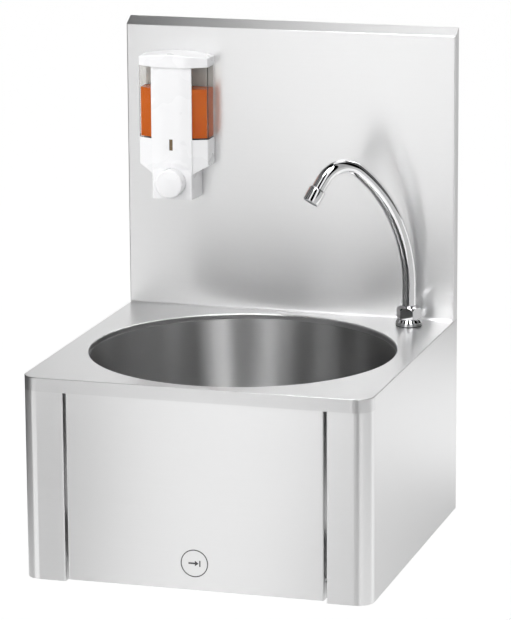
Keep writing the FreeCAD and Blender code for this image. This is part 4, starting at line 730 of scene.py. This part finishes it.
def neck_rings(reach, height, heading, radius):
    """Rings round the line: its point, plus the radius times cos along the ring's own outward
    direction in the plane and sin sideways."""
    middle = NECK_FOOT + reach[:, None, None] * OUTWARD + height[:, None, None] * UPWARD
    turned_out = (-np.cos(heading)[:, None, None] * OUTWARD
                  + np.sin(heading)[:, None, None] * UPWARD)
    angle = full_circle(RING_STEPS)[None, :, None]
    around = np.cos(angle) * turned_out + np.sin(angle) * SIDEWAYS
    return middle + radius[:, None, None] * around


def outward(points, faces):
    """The faces of a closed shell, turned round if they enclose a negative volume: a sixth of
    the sum of every triangle's triple product, each face being a fan of triangles from its
    first corner."""
    points = np.asarray(points, float).reshape(-1, 3)
    first, *rest = (points[faces[:, corner]] for corner in range(faces.shape[1]))
    volume = sum(np.einsum("ij,ij->i", first, np.cross(one, two)).sum()
                 for one, two in zip(rest, rest[1:])) / 6
    return faces if volume > 0 else faces[:, ::-1]


def crisp(piece, angle=35):
    """Keeps edges sharper than an angle as edges, and shades the rest smooth."""
    piece.data.set_sharp_from_angle(angle=math.radians(angle))
    return piece


bore_line = (*line[:3], np.full(line[3].size, TUBE_BORE))
shell = np.concatenate([neck_rings(*line), neck_rings(*bore_line)[::-1]])
swan_neck = crisp(new_piece("swan_neck", shell,
                            outward(shell, grid_faces(*shell.shape[:2], True, True)), polished))
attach(swan_neck, "spout")
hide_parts("spout_tube")
print("swan neck:", len(swan_neck.data.polygons), "faces")

# %% [markdown]
# The aerator sits in a short chromed housing on the tube's end. It is turned on a lathe, so here
# too it is one profile turned about the tube's line, rather than a cylinder with modifiers. The
# profile starts at the outlet's face and goes up the outside, with a small rounding at both rims,
# and back down the bore.

# %% Turned pieces


def revolved(name, centre, axis, profile, material, steps=96):
    """Turns a closed profile of (radius, length) about the line through centre along axis. A
    point is the radius times cos and sin of an angle on two directions square to the axis, plus
    the length along it."""
    axis = Vector(axis).normalized()
    side = axis.orthogonal().normalized()
    directions = np.array([side, axis.cross(side), axis])
    angle = full_circle(steps)[:, None]
    radius, length = np.asarray(profile, float).T
    local = np.stack([radius * np.cos(angle), radius * np.sin(angle),
                      np.broadcast_to(length, (steps, radius.size))], axis=-1)
    points = local @ directions + np.array(centre)
    return new_piece(name, points, outward(points, grid_faces(steps, radius.size, True, True)),
                     material)


print("lathe ready")

# %% Aerator housing
HOUSING_MM = [(8.6, 0), (9.6, 0), (9.76, 0.1), (9.98, 0.55), (10.06, 0.75), (10.1, 1.0),
              (10.1, 15.9), (10.02, 16.3), (9.86, 16.7), (9.2, 17.6), (9.0, 17.76), (8.75, 17.8),
              (8.0, 17.8), (8.0, 10.0), (6.8, 10.0), (6.8, 9.0), (8.6, 9.0)]

crook_end_reach, crook_end_height = line[0][-2], line[1][-2]
down_the_tube = math.sin(OUTLET_HEADING) * OUTWARD + math.cos(OUTLET_HEADING) * UPWARD
outlet_centre = (NECK_FOOT + crook_end_reach * OUTWARD + crook_end_height * UPWARD
                 + OUTLET_FACE * down_the_tube)
housing = crisp(revolved("outlet_housing", outlet_centre, -down_the_tube,
                         np.array(HOUSING_MM) / 1000, polished))
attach(housing, "spout")
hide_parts("aerator_housing")
print("outlet at", outlet_centre.round(4))

# %% [markdown]
# Two springs push the valve's plunger and the dispenser's button back. Each is a round wire on a
# helix. A stack of rings would look the same from afar, but it has no wire to follow, and a screw
# modifier gives no closed ends. So rings of the wire's section are carried along the helix.

# %% A wire on a helix
TURN_STEPS, WIRE_STEPS = 48, 12
WIRE_EDGE_ANGLE = 60


def rod_faces(rings, count, turned=False):
    """Faces of a rod through rings of count points: its sides, and a cap on each end."""
    step = -1 if turned else 1
    ends = np.arange(count)[::-1], np.arange(count) + (rings - 1) * count
    return (grid_faces(rings, count, False, True)[:, ::step].tolist()
            + [end[::step].tolist() for end in ends])


def coiled_wire(name, node, wire, turns, material):
    """A round wire on a helix along Y that fills a node's box. Its middle line lies at the coil's
    radius times (cos, sin) of an angle, and its depth grows evenly with that angle."""
    low, high = (np.array(corner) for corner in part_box(node))
    centre, coil = (low + high) / 2, (high[0] - low[0]) / 2 - wire
    angle = np.linspace(0, 2 * np.pi * turns, TURN_STEPS * turns + 1)[:, None]
    climb = (high[1] - low[1] - 2 * wire) / (2 * np.pi * turns)
    radial = np.concatenate([np.cos(angle), 0 * angle, np.sin(angle)], axis=1)
    along = np.concatenate([-coil * np.sin(angle), 0 * angle + climb, coil * np.cos(angle)],
                           axis=1)
    along /= np.linalg.norm(along, axis=1, keepdims=True)
    middle = coil * radial + np.array([centre[0], low[1] + wire, centre[2]])
    middle[:, 1] += climb * angle[:, 0]
    ring = full_circle(WIRE_STEPS)[None, :, None]
    points = (middle[:, None] + wire * (np.cos(ring) * radial[:, None]
                                        + np.sin(ring) * np.cross(along, radial)[:, None]))
    piece = crisp(new_piece(name, points, rod_faces(angle.size, WIRE_STEPS), material),
                  WIRE_EDGE_ANGLE)
    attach(piece, "casing")
    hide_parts(node)
    return piece, (centre[0], high[1], centre[2]), high[1] - low[1]


print("spring maker ready")

# %% [markdown]
# Both springs shorten when their piece goes in. Their coils can't simply ride on the moving
# piece, because the far end stands still. Here each is made to fill its node's box and gets a mesh
# of its own.

# %% Springs
SPRINGS = [
    # piece, node that it replaces, wire's radius, turns, joint that presses it
    ("plunger_spring", "valve_spring", 0.0008, 4, "plunger_slide"),
    ("button_spring", "soap_spring", 0.0005, 8, "soap_button_push"),
]

for name, node, wire, turns, joint in SPRINGS:
    spring, fixed_end, length = coiled_wire(name, node, wire, turns, wire_steel)
    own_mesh(spring)

# %% [markdown]
# The inlets of the valve and the tail of the waste have pipe threads, which supply hoses and a
# trap are screwed to. A texture would be enough from the front, but they are looked at from below
# too. So each is a real ridge that winds up round the solid's own cylinder and fades out at both
# ends.

# %% Threads
THREAD_STEPS = 56
RIDGE_ROOT, RIDGE_HALF_WIDTH, LEAST_RIDGE = -0.0001, 0.46, 0.02
INLET_ACROSS, INLET_DEPTH = 0.040, -0.325
HALF_INCH = {"radius": 0.01048, "length": 0.016, "pitch": 0.001814, "depth": 0.0003}
INCH_AND_A_HALF = {"radius": 0.0239, "length": 0.024, "pitch": 0.002309, "depth": 0.0004}


def thread(name, centre, low, material, slot, radius, length, pitch, depth):
    """A ridge on an upright cylinder. Its height grows by a pitch in each turn, and its section is
    a triangle whose tip stands out by the depth, times a factor that fades within half a turn of
    an end."""
    turns = length / pitch - 1
    angle = np.linspace(0, 2 * np.pi * turns, int(THREAD_STEPS * turns))[:, None]
    fade = np.clip(np.minimum(angle, angle[-1] - angle) / np.pi, LEAST_RIDGE, 1)
    out = np.concatenate([RIDGE_ROOT + 0 * fade, depth * fade, RIDGE_ROOT + 0 * fade], axis=1)
    rise = RIDGE_HALF_WIDTH * np.array([[-1, 0, 1]]) * fade
    height = low + pitch * (0.5 + angle / (2 * np.pi) + rise)
    points = np.stack([centre[0] + (radius + out) * np.cos(angle),
                       centre[1] + (radius + out) * np.sin(angle), height], axis=-1)
    piece = crisp(new_piece(name, points, rod_faces(angle.size, 3, turned=True), material))
    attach(piece, "casing")


for side, across in (("left", -INLET_ACROSS), ("right", INLET_ACROSS)):
    thread("inlet_thread_" + side, (across, INLET_DEPTH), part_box("valve_body")[0].z, brass,
           "valve_brass", **HALF_INCH)
thread("waste_thread", BOWL_AXIS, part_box("waste_cup")[0].z, white_plastic, "white_moulding",
       **INCH_AND_A_HALF)
print("threads on both inlets and the waste tail")

# %% [markdown]
# The panel carries a round push mark low in its middle: a fine ring with an arrow that presses
# against a bar. On the real sheet such a mark is printed. A picture on the sheet would blur from
# near by, so it is a thin inlay with real edges, and it rides on the panel.

# %% Rings and plates as inlays


def inlay_ring(centre, outer, line, depth, steps=96):
    """A flat ring in the plane of X and Z: a thin four-cornered section round a circle."""
    angle = full_circle(steps)[:, None]
    radius = np.array([outer, outer, outer - line, outer - line])
    front = np.array([0, -depth, -depth, 0])
    points = np.stack([radius * np.cos(angle), np.broadcast_to(front, (steps, 4)),
                       radius * np.sin(angle)], axis=-1) + centre
    return points.reshape(-1, 3), grid_faces(steps, 4, True, True)[:, ::-1].tolist()


def inlay_plate(centre, outline, depth):
    """A flat plate: an outline of (x, z) points, once on the sheet and once a depth in front."""
    across, height = np.asarray(outline, float).T
    points = np.concatenate([np.stack([across, np.full(across.size, y), height], axis=-1)
                             for y in (0, -depth)]) + centre
    return points, rod_faces(2, across.size)


print("inlay makers ready")

# %% Push mark
MARK_HEIGHT = 0.0332
RING_OUTER, RING_LINE = 0.01575, 0.0011
INK_DEPTH = 0.00015
ARROW = [(-0.0068, -0.0009), (0.0006, -0.0009), (0.0006, -0.0031), (0.0048, 0.0),
         (0.0006, 0.0031), (0.0006, 0.0009), (-0.0068, 0.0009)]
BAR = [(0.0056, -0.0034), (0.0070, -0.0034), (0.0070, 0.0034), (0.0056, 0.0034)]

ink = moulded("dark_ink", (0.055, 0.055, 0.058), 0.5)
panel_low, panel_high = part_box("push_panel")
mark_centre = np.array([(panel_low.x + panel_high.x) / 2, panel_low.y, UNDERSIDE + MARK_HEIGHT])

points, faces = inlay_ring(mark_centre, RING_OUTER, RING_LINE, INK_DEPTH)
for outline in (ARROW, BAR):
    more, more_faces = inlay_plate(mark_centre, outline, INK_DEPTH)
    faces += [[index + len(points) for index in face] for face in more_faces]
    points = np.concatenate([points, more])
push_mark = new_piece("push_mark", points, faces, ink, smooth=False)
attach(push_mark, "panel")
print("push mark", round(2000 * RING_OUTER, 1), "mm across at", mark_centre.round(4))
